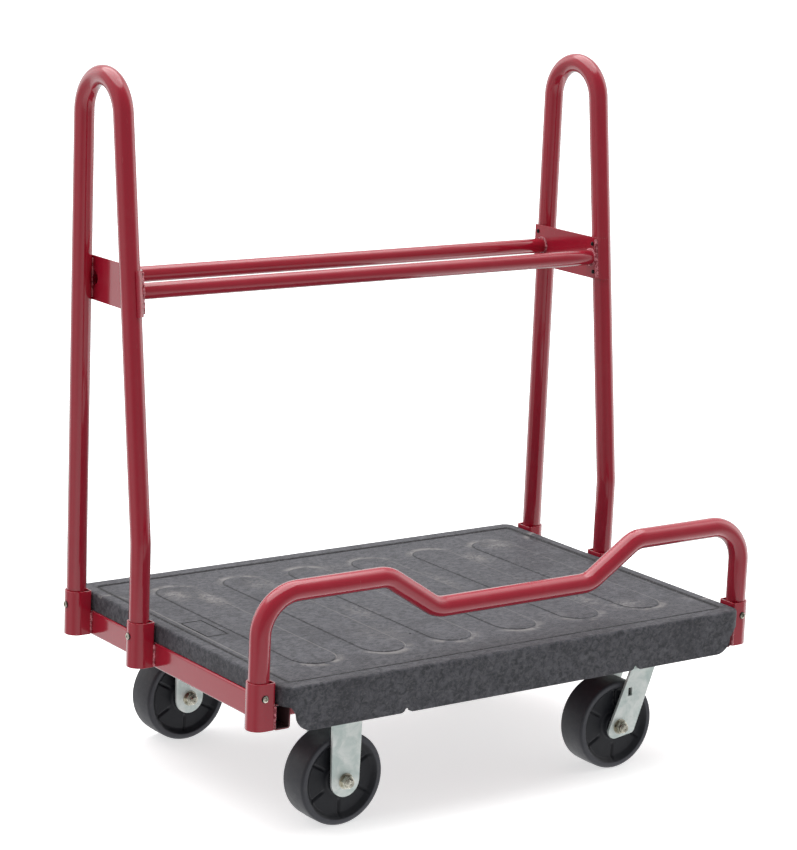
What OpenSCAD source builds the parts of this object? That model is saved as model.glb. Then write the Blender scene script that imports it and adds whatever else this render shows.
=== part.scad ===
// Platform cart: a moulded plastic deck on a welded steel base, two tubular end uprights
// joined by two crossbars, a low front rail that dips in the middle, two rigid casters at
// the left end and two swivel casters at the right end.
// X runs along the deck (left end is -X), the low front rail is at -Y, and Z = 0 is the floor.

/* [Deck] */
// Length of the deck
deck_l = 915; // [860:5:1000]
// Width of the deck
deck_w = 647; // [635:1:670]
// Depth of the end skirts
end_skirt_h = 31.2; // [26:0.2:40]
// Depth of the side skirts
side_skirt_h = 68.4; // [55:0.2:72]
// Thickness of the skirts
skirt_t = 6; // [4:0.5:8]
// Thickness of the top panel
slab_t = 6; // [5:0.5:8]
// Radius of the deck's corners in plan
deck_corner_r = 20; // [10:1:30]
// Number of raised pads along the deck
pad_count = 6; // [4:1:6]
// Width of one raised pad
pad_w = 78; // [50:1:90]
// Length of one raised pad
pad_l = 474; // [300:2:500]
// Distance between neighbouring pads
pad_pitch = 132; // [110:1:140]

/* [Steel base] */
// Width of the hollow members
member_w = 28.6; // [25:0.2:32]
// Height of the hollow members
member_h = 41.3; // [38:0.1:45]
// Wall of the hollow members
member_t = 2.6; // [2:0.1:3.5]
// Length of the end members
end_member_l = 596; // [590:1:600]
// Distance of the side members from the middle of the cart
side_member_y = 234; // [225:1:240]

/* [Sockets] */
// Height of a post socket
socket_h = 74.9; // [65:0.1:90]
// Height of the sockets' lower edge above the floor
socket_z = 193.3; // [192:0.1:200]
// Wall of a post socket
socket_t = 2.7; // [2:0.1:3.5]
// Distance of the posts from the middle of the cart, lengthwise
post_x = 480; // [480:0.5:485]
// Height of the socket screws below the socket's rim
socket_screw_drop = 23; // [15:1:30]

/* [Uprights] */
// Outside diameter of the posts and the rail
post_d = 33.4; // [31:0.1:34]
// Wall of the posts and the rail
post_t = 2.6; // [2:0.1:3.4]
// Overall height of the cart
cart_h = 1144.7; // [1000:1:1250]
// Rear leg's distance behind the middle of the cart
rear_y = 282; // [270:1:284]
// Front leg's distance behind the middle of the cart, at the deck
front_y = 76; // [60:1:90]
// Height at which the front leg starts to lean back
lean_z = 397; // [360:1:450]
// Lean of the front leg
lean = 6.8; // [5:0.1:8]

/* [Crossbars and brackets] */
// Outside diameter of the crossbars
bar_d = 26.7; // [22:0.1:30]
// Height of the crossbars' centre lines
bar_z = 794.5; // [700:0.5:850]
// Rear crossbar's distance behind the middle of the cart
rear_bar_y = 270; // [266:0.5:271]
// Front crossbar's distance behind the middle of the cart
front_bar_y = 130; // [128:0.5:134]
// Height of a bracket
bracket_h = 73; // [60:1:80]
// Thickness of a bracket
bracket_t = 3; // [2:0.1:4]

/* [Front rail] */
// Distance of the rail in front of the middle of the cart
rail_y = 281.5; // [275:0.5:284]
// Height of the rail's raised ends
rail_high_z = 402; // [390:1:450]
// Height of the rail's dip
rail_low_z = 340; // [320:1:360]
// Half of the length from one upper bend to the other
dip_top_x = 248; // [230:1:280]
// Half of the length from one lower bend to the other
dip_bottom_x = 153; // [120:1:170]

/* [Casters] */
// Diameter of a wheel
wheel_d = 152.4; // [148:0.1:156]
// Width of a wheel
wheel_w = 56; // [50:1:58]
// Height of a caster, from the floor to the top of its plate
caster_h = 191.5; // [188:0.5:192]
// Distance of the caster plates from the middle of the cart, lengthwise
caster_x = 306; // [290:1:320]
// Distance of the casters from the middle of the cart, sideways
caster_y = 234; // [230:1:238]
// Trail of a swivel caster, from its kingpin to its axle
trail = 58; // [50:1:60]
// Diameter of the axle bolts
axle_d = 12.7; // [11:0.1:13]

/* [Hidden] */
$fn = 64;
fit = 0.05;          // radial clearance of a running fit
seat = 0.1;          // gap between pieces that are fastened together
eps = 0.01;
cut = 1;             // how far a cut runs past the surface it opens
hair = 0.01;         // gap between a tube's run and its bend
ring_h = 0.6;        // ring inside the wall that joins them
ring_inset = 0.5;

member_top = caster_h + member_h;
deck_top = member_top + end_skirt_h;
skirt_z = deck_top - side_skirt_h;
slab_z = deck_top - slab_t;

// Deck top: rim, groove, sunken panel and raised pads
rim_end = 21.5;
rim_side = 26.5;
panel_drop = 1.2;
panel_corner_r = 14;
groove_w = 3;
groove_drop = 2.6;
pad_rise = panel_drop;
pad_seat = 1;
gate_pits = [[-120, -170], [262, -125]];
pit_r = 2.5;
pit_depth = 1.5;

// Side skirt's lower corners and the drain notches in its lower edge
skirt_corner_r = 28;
skirt_slope_w = 11;
skirt_corner_in = 21.5;
skirt_corner_x = deck_l / 2 - skirt_corner_in;
skirt_corner_z = skirt_z + skirt_corner_r;
notch_x = 231;
notch_w = 10;
notch_h = 7;

// Ribs and bosses under the deck
rib_t = 4;
rib_pitch_x = 100;
rib_pitch_y = 90;
plate_boss_r = 12;
plate_boss_depth = 48;
screw_boss_r = 9;
screw_boss_depth = 18;
deck_screw_x = [-400, -130, 130, 400];
deck_screw_r = 2.5;
deck_screw_head_r = 6;
deck_screw_head_h = 4;
deck_screw_hole_r = 3;
deck_screw_tip_gap = 2;

// Steel base
member_corner_r = 4;
member_outer_x = post_x - post_d / 2 - socket_t - seat;
member_inner_x = member_outer_x - member_w;
side_member_l = 2 * member_inner_x;

// Sockets: a round outer side and a flat side that is welded to the end member
socket_r = post_d / 2 + seat + socket_t;
socket_corner_r = 5;
socket_top = socket_z + socket_h;
socket_screw_z = socket_top - socket_screw_drop;
socket_screw_r = 3;
bead = 4;
socket_hole_l = 18;
post_lift = 2;
post_end_z = socket_z + post_lift;

// Uprights: the arch touches both legs and just reaches the cart's height
post_r = post_d / 2;
arch_top = cart_h - post_r;
arch_r = ((rear_y - front_y) * cos(lean) - (arch_top - lean_z) * sin(lean))
       / (1 + cos(lean) - sin(lean));
lean_bend_r = 60;
lean_setback = lean_bend_r * tan(lean / 2);
arch_z = arch_top - arch_r;
lean_run = (arch_z + arch_r * sin(lean) - lean_z) / cos(lean) - lean_setback;
upright_route = [
    [lean_z - lean_setback - post_end_z, lean_bend_r, lean],
    [lean_run, arch_r, 180 - lean],
    [arch_z - post_end_z, 0, 0]
];
function front_leg_y(z) = front_y + (z - lean_z) * tan(lean);

// Front rail
rail_corner_r = 65;
dip_bend_r = 50;
dip_angle = atan2(rail_high_z - rail_low_z, dip_top_x - dip_bottom_x);
dip_setback = dip_bend_r * tan(dip_angle / 2);
rail_post_run = rail_high_z - rail_corner_r - post_end_z;
rail_high_run = post_x - rail_corner_r - dip_top_x - dip_setback;
rail_slope_run = norm([rail_high_z - rail_low_z, dip_top_x - dip_bottom_x]) - 2 * dip_setback;
rail_low_run = 2 * (dip_bottom_x - dip_setback);
rail_route = [
    [rail_post_run, rail_corner_r, 90],
    [rail_high_run, dip_bend_r, dip_angle],
    [rail_slope_run, dip_bend_r, -dip_angle],
    [rail_low_run, dip_bend_r, -dip_angle],
    [rail_slope_run, dip_bend_r, dip_angle],
    [rail_high_run, rail_corner_r, 90],
    [rail_post_run, 0, 0]
];

// Brackets between the legs of an upright
bar_t = 2;
bracket_z = bar_z - bracket_h / 2;
bracket_overhang = 9;
bracket_face_x = post_x - post_r - seat;
bracket_screw_inset = 12;
bracket_screw_r = 2.4;
bracket_hole_l = 12;
bracket_screw_zs = [bracket_z + bracket_screw_inset, bracket_z + bracket_h - bracket_screw_inset];

// Casters
wheel_r = wheel_d / 2;
axle_z = wheel_r;
axle_r = axle_d / 2;
plate_x = 114.3;
plate_y = 101.6;
plate_t = 6.4;
plate_corner_r = 8;
plate_hole_x = 92;
plate_hole_y = 76;
plate_hole_r = 4.5;
plate_z = caster_h - plate_t;
bolt_r = 4;
bolt_head_r = 7.5;
bolt_head_h = 5;
bolt_grip = 40;
bolt_l = plate_t + bolt_grip;
leg_t = 4.8;
leg_in = 31.9;
leg_out = leg_in + leg_t;
leg_end_r = 26;
leg_top_w = 56;
bush_r = 9.5;
bearing_r = 12;
hub_r = 21;
hub_half = 29.5;
washer_r = 13;
washer_t = 1.6;
axle_head_h = 8;
nut_af = 19;
nut_h = 11;
nut_hex_h = 7.7;
nut_collar_r = 8.5;
stud_out = 3.5;

// Wheel sides: a rim, a dish and six broad spokes
shoulder_r = 7;
rim_face = 9;
rim_step = 3;
rim_in_r = wheel_r - shoulder_r - rim_face;
dish_depth = 13;
dish_half = wheel_w / 2 - dish_depth;
spoke_drop = 4;
spoke_half = wheel_w / 2 - spoke_drop;
spoke_root_r = 20;
spoke_end_r = rim_in_r + 2 * rim_step;
spoke_count = 6;
spoke_w = 18;

// Swivel casters: the crown is a disc on a strip whose long edges bend down into the legs
kingpin_r = 6.35;
kingpin_nut_r = 11;
kingpin_nut_h = 7;
kingpin_nut_gap = 0.3;
kingpin_end = 3;
crown_t = leg_t;
crown_gap = 5.6;
crown_z = plate_z - crown_gap - crown_t;
crown_top = crown_z + crown_t;
crown_front = 13;
crown_back = 39;
crown_bend_r = 8;
crown_disc_r = 34;
race_h = 1.2;
race_r = 33;
race_lip = 1;
ball_ring_in = 22;
ball_ring_gap = 0.3;
toe_r = 14;
toe_back_angle = 155;
toe = [-trail - 8.5, axle_z - 6.2];
heel_r = 9;
heel_front_angle = -20;
sole_angle = -82;
heel = [-trail + 24, axle_z - 6.7];
leg_slot = [5.5, 14];
leg_slot_at = [-39, 134];

paint = [0.72, 0.17, 0.24];
plastic = [0.36, 0.37, 0.39];
zinc = [0.80, 0.82, 0.80];
steel = [0.66, 0.65, 0.60];
tread = [0.22, 0.22, 0.25];
black = [0.12, 0.12, 0.13];

// ---- Shapes that several pieces share ----

// A rectangle with round corners, centred on the origin
module rounded_rect(l, w, r) {
    square([l - 2 * r, w], center = true);
    square([l, w - 2 * r], center = true);
    for (x = [-1, 1], y = [-1, 1])
        translate([x * (l / 2 - r), y * (w / 2 - r)]) circle(r);
}

// A strip with half-round ends, centred on the origin and long in Y
module stadium(w, l) {
    square([w, l - w], center = true);
    for (y = [-1, 1]) translate([0, y * (l - w) / 2]) circle(w / 2);
}

module annulus(d, t) {
    difference() {
        circle(d / 2);
        circle(d / 2 - t);
    }
}

// A cylinder lying along +X or +Y from the given point
module rod_x(p, r, l) translate(p) rotate([0, 90, 0]) cylinder(r = r, h = l);
module rod_y(p, r, l) translate(p) rotate([-90, 0, 0]) cylinder(r = r, h = l);

// A tube that starts up +Z and bends in the XZ plane. Each step is a straight run, and then
// a bend of the given radius and angle, positive towards +X; the last step has no bend.
// A run stops a hair short of its bend, and a ring inside the wall joins the two.
module tube_route(steps, d, t, i = 0) {
    run = steps[i][0];
    clr = steps[i][1];
    bend = steps[i][2];
    side = bend > 0 ? 1 : -1;
    start = i == 0 ? 0 : hair;
    finish = bend == 0 ? run : run - hair;
    translate([0, 0, start]) linear_extrude(finish - start) annulus(d, t);
    if (i > 0) joint_ring(d, t);
    if (bend != 0) {
        translate([0, 0, run]) joint_ring(d, t);
        translate([side * clr, 0, run]) {
            rotate([90, 0, 0]) rotate([0, 0, bend > 0 ? 180 - bend : 0])
                rotate_extrude(angle = abs(bend)) translate([clr, 0]) annulus(d, t);
            rotate([0, bend, 0]) translate([-side * clr, 0, 0]) tube_route(steps, d, t, i + 1);
        }
    }
}

module joint_ring(d, t) {
    translate([0, 0, -ring_h / 2]) linear_extrude(ring_h)
        annulus(d - 2 * ring_inset, t - 2 * ring_inset);
}

// ---- Deck ----

// Everything below the line where the side skirt's lower corner is cut back, at the +X end
module skirt_corner_cut() {
    far = deck_l / 2 + cut;
    low = skirt_z - cut;
    polygon([
        [skirt_corner_x, low], [far, low], [far, member_top],
        [skirt_corner_x + skirt_slope_w, member_top], [skirt_corner_x, skirt_corner_z]
    ]);
    difference() {
        translate([skirt_corner_x - skirt_corner_r, low])
            square([skirt_corner_r + eps, skirt_corner_z - low]);
        translate([skirt_corner_x - skirt_corner_r, skirt_corner_z]) circle(skirt_corner_r);
    }
}

module skirt_notch() {
    translate([0, skirt_z]) circle(notch_w / 2);
    translate([-notch_w / 2, skirt_z - cut]) square([notch_w, notch_h - notch_w / 2 + cut]);
    translate([0, skirt_z + notch_h - notch_w / 2]) circle(notch_w / 2);
}

module deck_shell() {
    panel_l = deck_l - 2 * rim_end;
    panel_w = deck_w - 2 * rim_side;
    difference() {
        translate([0, 0, skirt_z]) linear_extrude(side_skirt_h)
            rounded_rect(deck_l, deck_w, deck_corner_r);
        translate([0, 0, skirt_z - cut]) linear_extrude(slab_z - skirt_z + cut)
            rounded_rect(deck_l - 2 * skirt_t, deck_w - 2 * skirt_t, deck_corner_r - skirt_t);
        for (side = [0, 1]) mirror([side, 0, 0])
            translate([0, deck_w / 2 + cut, 0]) rotate([90, 0, 0])
                linear_extrude(deck_w + 2 * cut) skirt_corner_cut();
        for (x = [-notch_x, notch_x])
            translate([x, deck_w / 2 + cut, 0]) rotate([90, 0, 0])
                linear_extrude(deck_w + 2 * cut) skirt_notch();
        translate([0, 0, deck_top - panel_drop]) linear_extrude(panel_drop + cut)
            rounded_rect(panel_l, panel_w, panel_corner_r);
        translate([0, 0, deck_top - groove_drop]) linear_extrude(groove_drop + cut)
            difference() {
                rounded_rect(panel_l, panel_w, panel_corner_r);
                rounded_rect(panel_l - 2 * groove_w, panel_w - 2 * groove_w,
                             panel_corner_r - groove_w);
            }
        for (pit = gate_pits)
            translate([pit[0], pit[1], deck_top - panel_drop - pit_depth])
                cylinder(r = pit_r, h = pit_depth + panel_drop + cut);
    }
}

module deck_ribs() {
    x_ribs = floor((deck_l / 2 - skirt_t) / rib_pitch_x);
    y_ribs = floor((deck_w / 2 - skirt_t) / rib_pitch_y);
    rib_h = slab_z - member_top + eps;
    for (i = [-x_ribs : x_ribs])
        translate([i * rib_pitch_x - rib_t / 2, -deck_w / 2 + skirt_t - eps, member_top])
            cube([rib_t, deck_w - 2 * skirt_t + 2 * eps, rib_h]);
    for (i = [-y_ribs : y_ribs])
        translate([-deck_l / 2 + skirt_t - eps, i * rib_pitch_y - rib_t / 2, member_top])
            cube([deck_l - 2 * skirt_t + 2 * eps, rib_t, rib_h]);
}

module at_plate_holes() {
    for (x = [-1, 1], y = [-1, 1])
        translate([x * plate_hole_x / 2, y * plate_hole_y / 2, 0]) children();
}

module at_casters() {
    for (x = [-caster_x, caster_x], y = [-caster_y, caster_y]) translate([x, y, 0]) children();
}

module at_deck_screws() {
    for (x = deck_screw_x, y = [-side_member_y, side_member_y]) translate([x, y, 0]) children();
}

module deck() {
    color(plastic) difference() {
        union() {
            deck_shell();
            deck_ribs();
            for (i = [0 : pad_count - 1])
                translate([(i - (pad_count - 1) / 2) * pad_pitch, 0,
                           deck_top - panel_drop - pad_seat])
                    linear_extrude(pad_seat + pad_rise) stadium(pad_w, pad_l);
            at_casters() at_plate_holes() translate([0, 0, caster_h])
                cylinder(r = plate_boss_r, h = slab_z - caster_h + eps);
            at_deck_screws() translate([0, 0, member_top])
                cylinder(r = screw_boss_r, h = slab_z - member_top + eps);
        }
        at_casters() at_plate_holes() translate([0, 0, caster_h - cut])
            cylinder(r = bolt_r + seat, h = plate_boss_depth + cut);
        at_deck_screws() translate([0, 0, member_top - cut])
            cylinder(r = deck_screw_r + seat, h = screw_boss_depth + cut);
    }
}

// Screws that hold the deck down on the side members, driven from below
module deck_screws() {
    color(zinc) at_deck_screws() {
        translate([0, 0, caster_h - deck_screw_head_h])
            cylinder(r = deck_screw_head_r, h = deck_screw_head_h, $fn = 6);
        translate([0, 0, caster_h - eps])
            cylinder(r = deck_screw_r, h = member_h + screw_boss_depth - deck_screw_tip_gap);
    }
}

// ---- Steel base ----

// A hollow member along Y or X, centred on the origin, with its lower face at Z = 0
module hollow_section(w) {
    translate([0, member_h / 2]) difference() {
        rounded_rect(w, member_h, member_corner_r);
        rounded_rect(w - 2 * member_t, member_h - 2 * member_t, member_corner_r - member_t);
    }
}

module end_member(side) {
    color(paint) difference() {
        translate([side * (member_outer_x - member_w / 2), end_member_l / 2, caster_h])
            rotate([90, 0, 0]) linear_extrude(end_member_l) hollow_section(member_w);
        socket_screw_holes();
    }
}

module side_member(side) {
    color(paint) difference() {
        translate([-side_member_l / 2, side * side_member_y, caster_h])
            rotate([90, 0, 90]) linear_extrude(side_member_l) hollow_section(member_w);
        at_deck_screws() translate([0, 0, caster_h - cut])
            cylinder(r = deck_screw_hole_r, h = member_h + 2 * cut);
    }
}

// ---- Sockets ----

// Round towards +X and flat towards -X
module socket_profile(r, corner) {
    circle(r);
    translate([corner - r, -r]) square([r - corner, 2 * r]);
    translate([-r, corner - r]) square([r, 2 * (r - corner)]);
    for (y = [-1, 1]) translate([corner - r, y * (r - corner)]) circle(corner);
}

// The weld beads lie in the corners between the socket and the end member
module weld_beads() {
    for (y = [0, 1]) mirror([0, y, 0])
        polygon([
            [-socket_r, socket_r - socket_corner_r], [-socket_r, socket_r + bead / 2],
            [bead - socket_r, socket_r]
        ]);
}

// One socket: side is the end of the cart, y its place across the cart
module socket(side, y) {
    color(paint) difference() {
        translate([side * post_x, y, socket_z]) mirror([side < 0 ? 1 : 0, 0, 0]) {
            linear_extrude(socket_h) difference() {
                socket_profile(socket_r, socket_corner_r);
                socket_profile(socket_r - socket_t, socket_corner_r - socket_t);
            }
            linear_extrude(member_top - socket_z) difference() {
                weld_beads();
                socket_profile(socket_r - eps, socket_corner_r);
            }
        }
        socket_screw_holes();
    }
}

upright_ys = [front_y, rear_y];

module socket_screw_holes() {
    for (side = [-1, 1], y = upright_ys)
        rod_x([side * (post_x + socket_r) - socket_hole_l / 2, y, socket_screw_z],
              socket_screw_r + seat, socket_hole_l);
    for (side = [-1, 1])
        rod_y([side * post_x, -rail_y - socket_r - socket_hole_l / 2, socket_screw_z],
              socket_screw_r + seat, socket_hole_l);
}

// A pan-head screw along -Z, with the underside of its head at the origin
module pan_screw(r, head_r, head_h, l) {
    dome_r = 1.3 * head_r;
    recess_l = 1.1 * head_r;
    recess_w = 0.22 * head_r;
    recess_depth = 2.2;
    translate([0, 0, -l]) cylinder(r = r, h = l + eps);
    difference() {
        intersection() {
            translate([0, 0, head_h - dome_r]) sphere(dome_r);
            cylinder(r = head_r, h = head_h);
        }
        translate([0, 0, head_h - recess_depth]) for (turn = [0, 90]) rotate([0, 0, turn])
            translate([-recess_l / 2, -recess_w / 2, 0])
                cube([recess_l, recess_w, recess_depth + cut]);
    }
}

module socket_screws() {
    head_r = 5.6;
    head_h = 3.2;
    screw_l = socket_t + post_t + 4;
    color(steel) {
        for (side = [-1, 1], y = upright_ys)
            translate([side * (post_x + socket_r), y, socket_screw_z])
                rotate([0, side * 90, 0]) pan_screw(socket_screw_r, head_r, head_h, screw_l);
        for (side = [-1, 1])
            translate([side * post_x, -rail_y - socket_r, socket_screw_z])
                rotate([90, 0, 0]) pan_screw(socket_screw_r, head_r, head_h, screw_l);
    }
}

// ---- Uprights, brackets, crossbars and rail ----

module upright(side) {
    color(paint) difference() {
        translate([side * post_x, front_y, post_end_z]) rotate([0, 0, 90])
            tube_route(upright_route, post_d, post_t);
        socket_screw_holes();
        bracket_screw_holes();
    }
}

module front_rail() {
    color(paint) difference() {
        translate([-post_x, -rail_y, post_end_z]) tube_route(rail_route, post_d, post_t);
        socket_screw_holes();
    }
}

// Places of the bracket screws in one upright, as [y, z]
bracket_screw_places = [
    for (z = bracket_screw_zs) [rear_y, z],
    for (z = bracket_screw_zs) [front_leg_y(z), z]
];

module bracket_screw_holes() {
    for (side = [-1, 1], place = bracket_screw_places)
        rod_x([side * bracket_face_x - bracket_hole_l / 2, place[0], place[1]],
              bracket_screw_r + seat, bracket_hole_l);
}

// The flat web touches both legs on their inner side, and its front end wraps a quarter
// turn round the front leg. The crossbars end in the two holes.
module bracket(side) {
    saddle_r = post_r + seat;
    color(paint) mirror([side < 0 ? 1 : 0, 0, 0]) difference() {
        intersection() {
            translate([post_x, front_y, lean_z]) rotate([-lean, 0, 0])
                linear_extrude(cart_h - lean_z) {
                    intersection() {
                        annulus(2 * (saddle_r + bracket_t), bracket_t);
                        translate([-2 * post_d, -2 * post_d]) square(2 * post_d);
                    }
                    translate([-saddle_r - bracket_t, 0]) square([bracket_t, deck_w]);
                }
            translate([bracket_face_x - post_d, 0, bracket_z])
                cube([3 * post_d, rear_y + bracket_overhang, bracket_h]);
        }
        for (y = [front_bar_y, rear_bar_y])
            rod_x([bracket_face_x - 2 * bracket_t, y, bar_z], bar_d / 2 + seat, 4 * bracket_t);
        bracket_screw_holes();
    }
}

module bracket_screws() {
    head_r = 3.6;
    head_h = 2.2;
    screw_l = bracket_t + post_t + 2;
    color(black) for (side = [-1, 1], place = bracket_screw_places)
        translate([side * (bracket_face_x - bracket_t), place[0], place[1]])
            rotate([0, -side * 90, 0]) pan_screw(bracket_screw_r, head_r, head_h, screw_l);
}

module crossbar(y) {
    color(paint) translate([-bracket_face_x, y, bar_z]) rotate([0, 90, 0])
        linear_extrude(2 * bracket_face_x) annulus(bar_d, bar_t);
}

// ---- Casters ----
// A caster is drawn with its plate centred on the Z axis and its axle along Y. The rigid
// one has its axle under the plate's middle; the swivel one trails towards -X.

module caster_plate(hole_r) {
    translate([0, 0, plate_z]) difference() {
        linear_extrude(plate_t) rounded_rect(plate_x, plate_y, plate_corner_r);
        at_plate_holes() translate([0, 0, -cut])
            cylinder(r = plate_hole_r, h = plate_t + 2 * cut);
        if (hole_r > 0) translate([0, 0, -cut]) cylinder(r = hole_r, h = plate_t + 2 * cut);
    }
}

module plate_bolts() {
    color(zinc) at_plate_holes() {
        translate([0, 0, plate_z - bolt_head_h]) cylinder(r = bolt_head_r, h = bolt_head_h, $fn = 6);
        translate([0, 0, plate_z - eps]) cylinder(r = bolt_r, h = bolt_l);
    }
}

module rigid_fork() {
    color(zinc) {
        caster_plate(0);
        for (side = [0, 1]) mirror([0, side, 0]) difference() {
            translate([0, leg_out, 0]) rotate([90, 0, 0]) linear_extrude(leg_t) {
                translate([0, axle_z]) circle(leg_end_r);
                polygon([
                    [-leg_end_r, axle_z], [leg_end_r, axle_z],
                    [leg_top_w / 2, plate_z + eps], [-leg_top_w / 2, plate_z + eps]
                ]);
            }
            rod_y([0, 0, axle_z], axle_r + seat, leg_out + cut);
        }
    }
}

module wheel_blank() {
    half = wheel_w / 2;
    bore_r = bearing_r + seat / 2;
    rotate([90, 0, 0]) rotate_extrude() difference() {
        union() {
            difference() {
                translate([bore_r, -half]) square([wheel_r - bore_r, wheel_w]);
                for (side = [0, 1]) mirror([0, side]) difference() {
                    translate([wheel_r - shoulder_r, half - shoulder_r])
                        square(shoulder_r + cut);
                    translate([wheel_r - shoulder_r, half - shoulder_r]) circle(shoulder_r);
                }
            }
            translate([bore_r, -hub_half]) square([hub_r - bore_r, 2 * hub_half]);
        }
        // The dish between the hub and the rim
        for (side = [0, 1]) mirror([0, side]) polygon([
            [hub_r, dish_half], [hub_r, half + 2 * cut],
            [rim_in_r + rim_step, half + 2 * cut], [rim_in_r, half - rim_step],
            [rim_in_r - rim_step, dish_half]
        ]);
    }
}

module caster_wheel(x) {
    color(tread) translate([x, 0, axle_z]) {
        wheel_blank();
        difference() {
            for (i = [0 : spoke_count - 1]) rotate([0, i * 360 / spoke_count, 0])
                translate([0, -spoke_half, -spoke_w / 2])
                    cube([spoke_end_r, 2 * spoke_half, spoke_w]);
            rod_y([0, -wheel_w, 0], spoke_root_r, 2 * wheel_w);
        }
    }
}

module caster_bearing(x) {
    color(steel) translate([x, hub_half, axle_z]) rotate([90, 0, 0])
        linear_extrude(2 * hub_half) difference() {
            circle(bearing_r);
            circle(bush_r + fit);
        }
}

module caster_bush(x) {
    color(steel) translate([x, leg_in, axle_z]) rotate([90, 0, 0])
        linear_extrude(2 * leg_in) difference() {
            circle(bush_r);
            circle(axle_r + seat);
        }
}

module caster_axle(x) {
    stud_end = leg_out + washer_t + nut_h + stud_out;
    color(steel) translate([x, 0, axle_z]) {
        rod_y([0, -stud_end, 0], axle_r, stud_end + leg_out + eps);
        translate([0, leg_out, 0]) rotate([-90, 0, 0])
            cylinder(r = nut_af / sqrt(3), h = axle_head_h, $fn = 6);
    }
}

module caster_nut(x) {
    color(steel) translate([x, -leg_out, axle_z]) rotate([90, 0, 0]) difference() {
        union() {
            cylinder(r = washer_r, h = washer_t);
            translate([0, 0, washer_t - eps])
                cylinder(r = nut_af / sqrt(3), h = nut_hex_h, $fn = 6);
            translate([0, 0, washer_t]) cylinder(r = nut_collar_r, h = nut_h);
        }
        translate([0, 0, -cut])
            cylinder(r = axle_r + seat / 2, h = nut_h + washer_t + 2 * cut);
    }
}

// The plate's raised ring carries the balls on its lower side
module swivel_plate() {
    color(zinc) {
        caster_plate(kingpin_r + seat);
        translate([0, 0, plate_z - race_h]) linear_extrude(race_h + eps) difference() {
            circle(race_r);
            circle(kingpin_r + seat);
        }
    }
}

module swivel_kingpin() {
    low = crown_z - kingpin_nut_gap - kingpin_nut_h;
    color(steel) {
        translate([0, 0, low - kingpin_end])
            cylinder(r = kingpin_r, h = caster_h - low + kingpin_end);
        translate([0, 0, low]) cylinder(r = kingpin_nut_r, h = kingpin_nut_h, $fn = 6);
    }
}

// The ball ring sits between the plate and the fork's crown
module swivel_balls() {
    ball_ring_h = crown_gap - race_h - 2 * ball_ring_gap;
    color(steel) translate([0, 0, crown_top + ball_ring_gap]) linear_extrude(ball_ring_h)
        difference() {
            circle(race_r - race_lip);
            circle(ball_ring_in);
        }
}

function on_circle(c, r, a) = c + r * [cos(a), sin(a)];

// Side view of a raked leg, with a round toe and heel
module raked_leg() {
    difference() {
        union() {
            polygon([
                [-crown_back, crown_top], [crown_front, crown_top],
                on_circle(heel, heel_r, heel_front_angle), on_circle(heel, heel_r, sole_angle),
                on_circle(toe, toe_r, sole_angle), on_circle(toe, toe_r, toe_back_angle)
            ]);
            translate(heel) circle(heel_r);
            translate(toe) circle(toe_r);
        }
        translate(leg_slot_at) square(leg_slot, center = true);
    }
}

module swivel_fork() {
    crown_w = 2 * (leg_out - crown_bend_r);
    bend_z = crown_top - crown_bend_r;
    color(zinc) difference() {
        union() {
            translate([-crown_back, -crown_w / 2, crown_z])
                cube([crown_back + crown_front, crown_w, crown_t]);
            translate([0, 0, crown_z]) intersection() {
                cylinder(r = crown_disc_r, h = crown_t);
                translate([0, -crown_w / 2, 0]) cube([crown_disc_r + cut, crown_w, crown_t]);
            }
            for (side = [0, 1]) mirror([0, side, 0]) {
                translate([-crown_back, crown_w / 2, bend_z])
                    rotate([90, 0, 90]) linear_extrude(crown_back + crown_front)
                        intersection() {
                            difference() {
                                circle(crown_bend_r);
                                circle(crown_bend_r - leg_t);
                            }
                            square(crown_bend_r);
                        }
                intersection() {
                    translate([0, leg_out, 0]) rotate([90, 0, 0]) linear_extrude(leg_t) raked_leg();
                    translate([-wheel_d, 0, 0]) cube([2 * wheel_d, leg_out + cut, bend_z]);
                }
            }
        }
        translate([0, 0, crown_z - cut]) cylinder(r = kingpin_r + fit, h = crown_t + 2 * cut);
        rod_y([-trail, -leg_out - cut, axle_z], axle_r + seat, 2 * (leg_out + cut));
    }
}

// ---- Placing ----

module at_rigid(side) translate([-caster_x, side * caster_y, 0]) children();
module at_swivel(side) translate([caster_x, side * caster_y, 0]) children();

deck();
end_member(-1);  // end_member_left
end_member(1);  // end_member_right
side_member(-1);  // side_member_front
side_member(1);  // side_member_rear
socket(-1, -rail_y);  // socket_front_left
socket(-1, front_y);  // socket_middle_left
socket(-1, rear_y);  // socket_rear_left
socket(1, -rail_y);  // socket_front_right
socket(1, front_y);  // socket_middle_right
socket(1, rear_y);  // socket_rear_right
socket_screws();
deck_screws();
upright(-1);  // upright_left
upright(1);  // upright_right
bracket(-1);  // bracket_left
bracket(1);  // bracket_right
bracket_screws();
crossbar(front_bar_y);  // crossbar_front
crossbar(rear_bar_y);  // crossbar_rear
front_rail();

at_rigid(-1) rigid_fork();  // rigid_fork_front
at_rigid(-1) caster_wheel(0);  // rigid_wheel_front
at_rigid(-1) caster_bearing(0);  // rigid_bearing_front
at_rigid(-1) caster_bush(0);  // rigid_bush_front
at_rigid(-1) caster_axle(0);  // rigid_axle_front
at_rigid(-1) caster_nut(0);  // rigid_nut_front
at_rigid(-1) plate_bolts();  // rigid_plate_bolts_front
at_rigid(1) rigid_fork();  // rigid_fork_rear
at_rigid(1) caster_wheel(0);  // rigid_wheel_rear
at_rigid(1) caster_bearing(0);  // rigid_bearing_rear
at_rigid(1) caster_bush(0);  // rigid_bush_rear
at_rigid(1) caster_axle(0);  // rigid_axle_rear
at_rigid(1) caster_nut(0);  // rigid_nut_rear
at_rigid(1) plate_bolts();  // rigid_plate_bolts_rear

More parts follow.
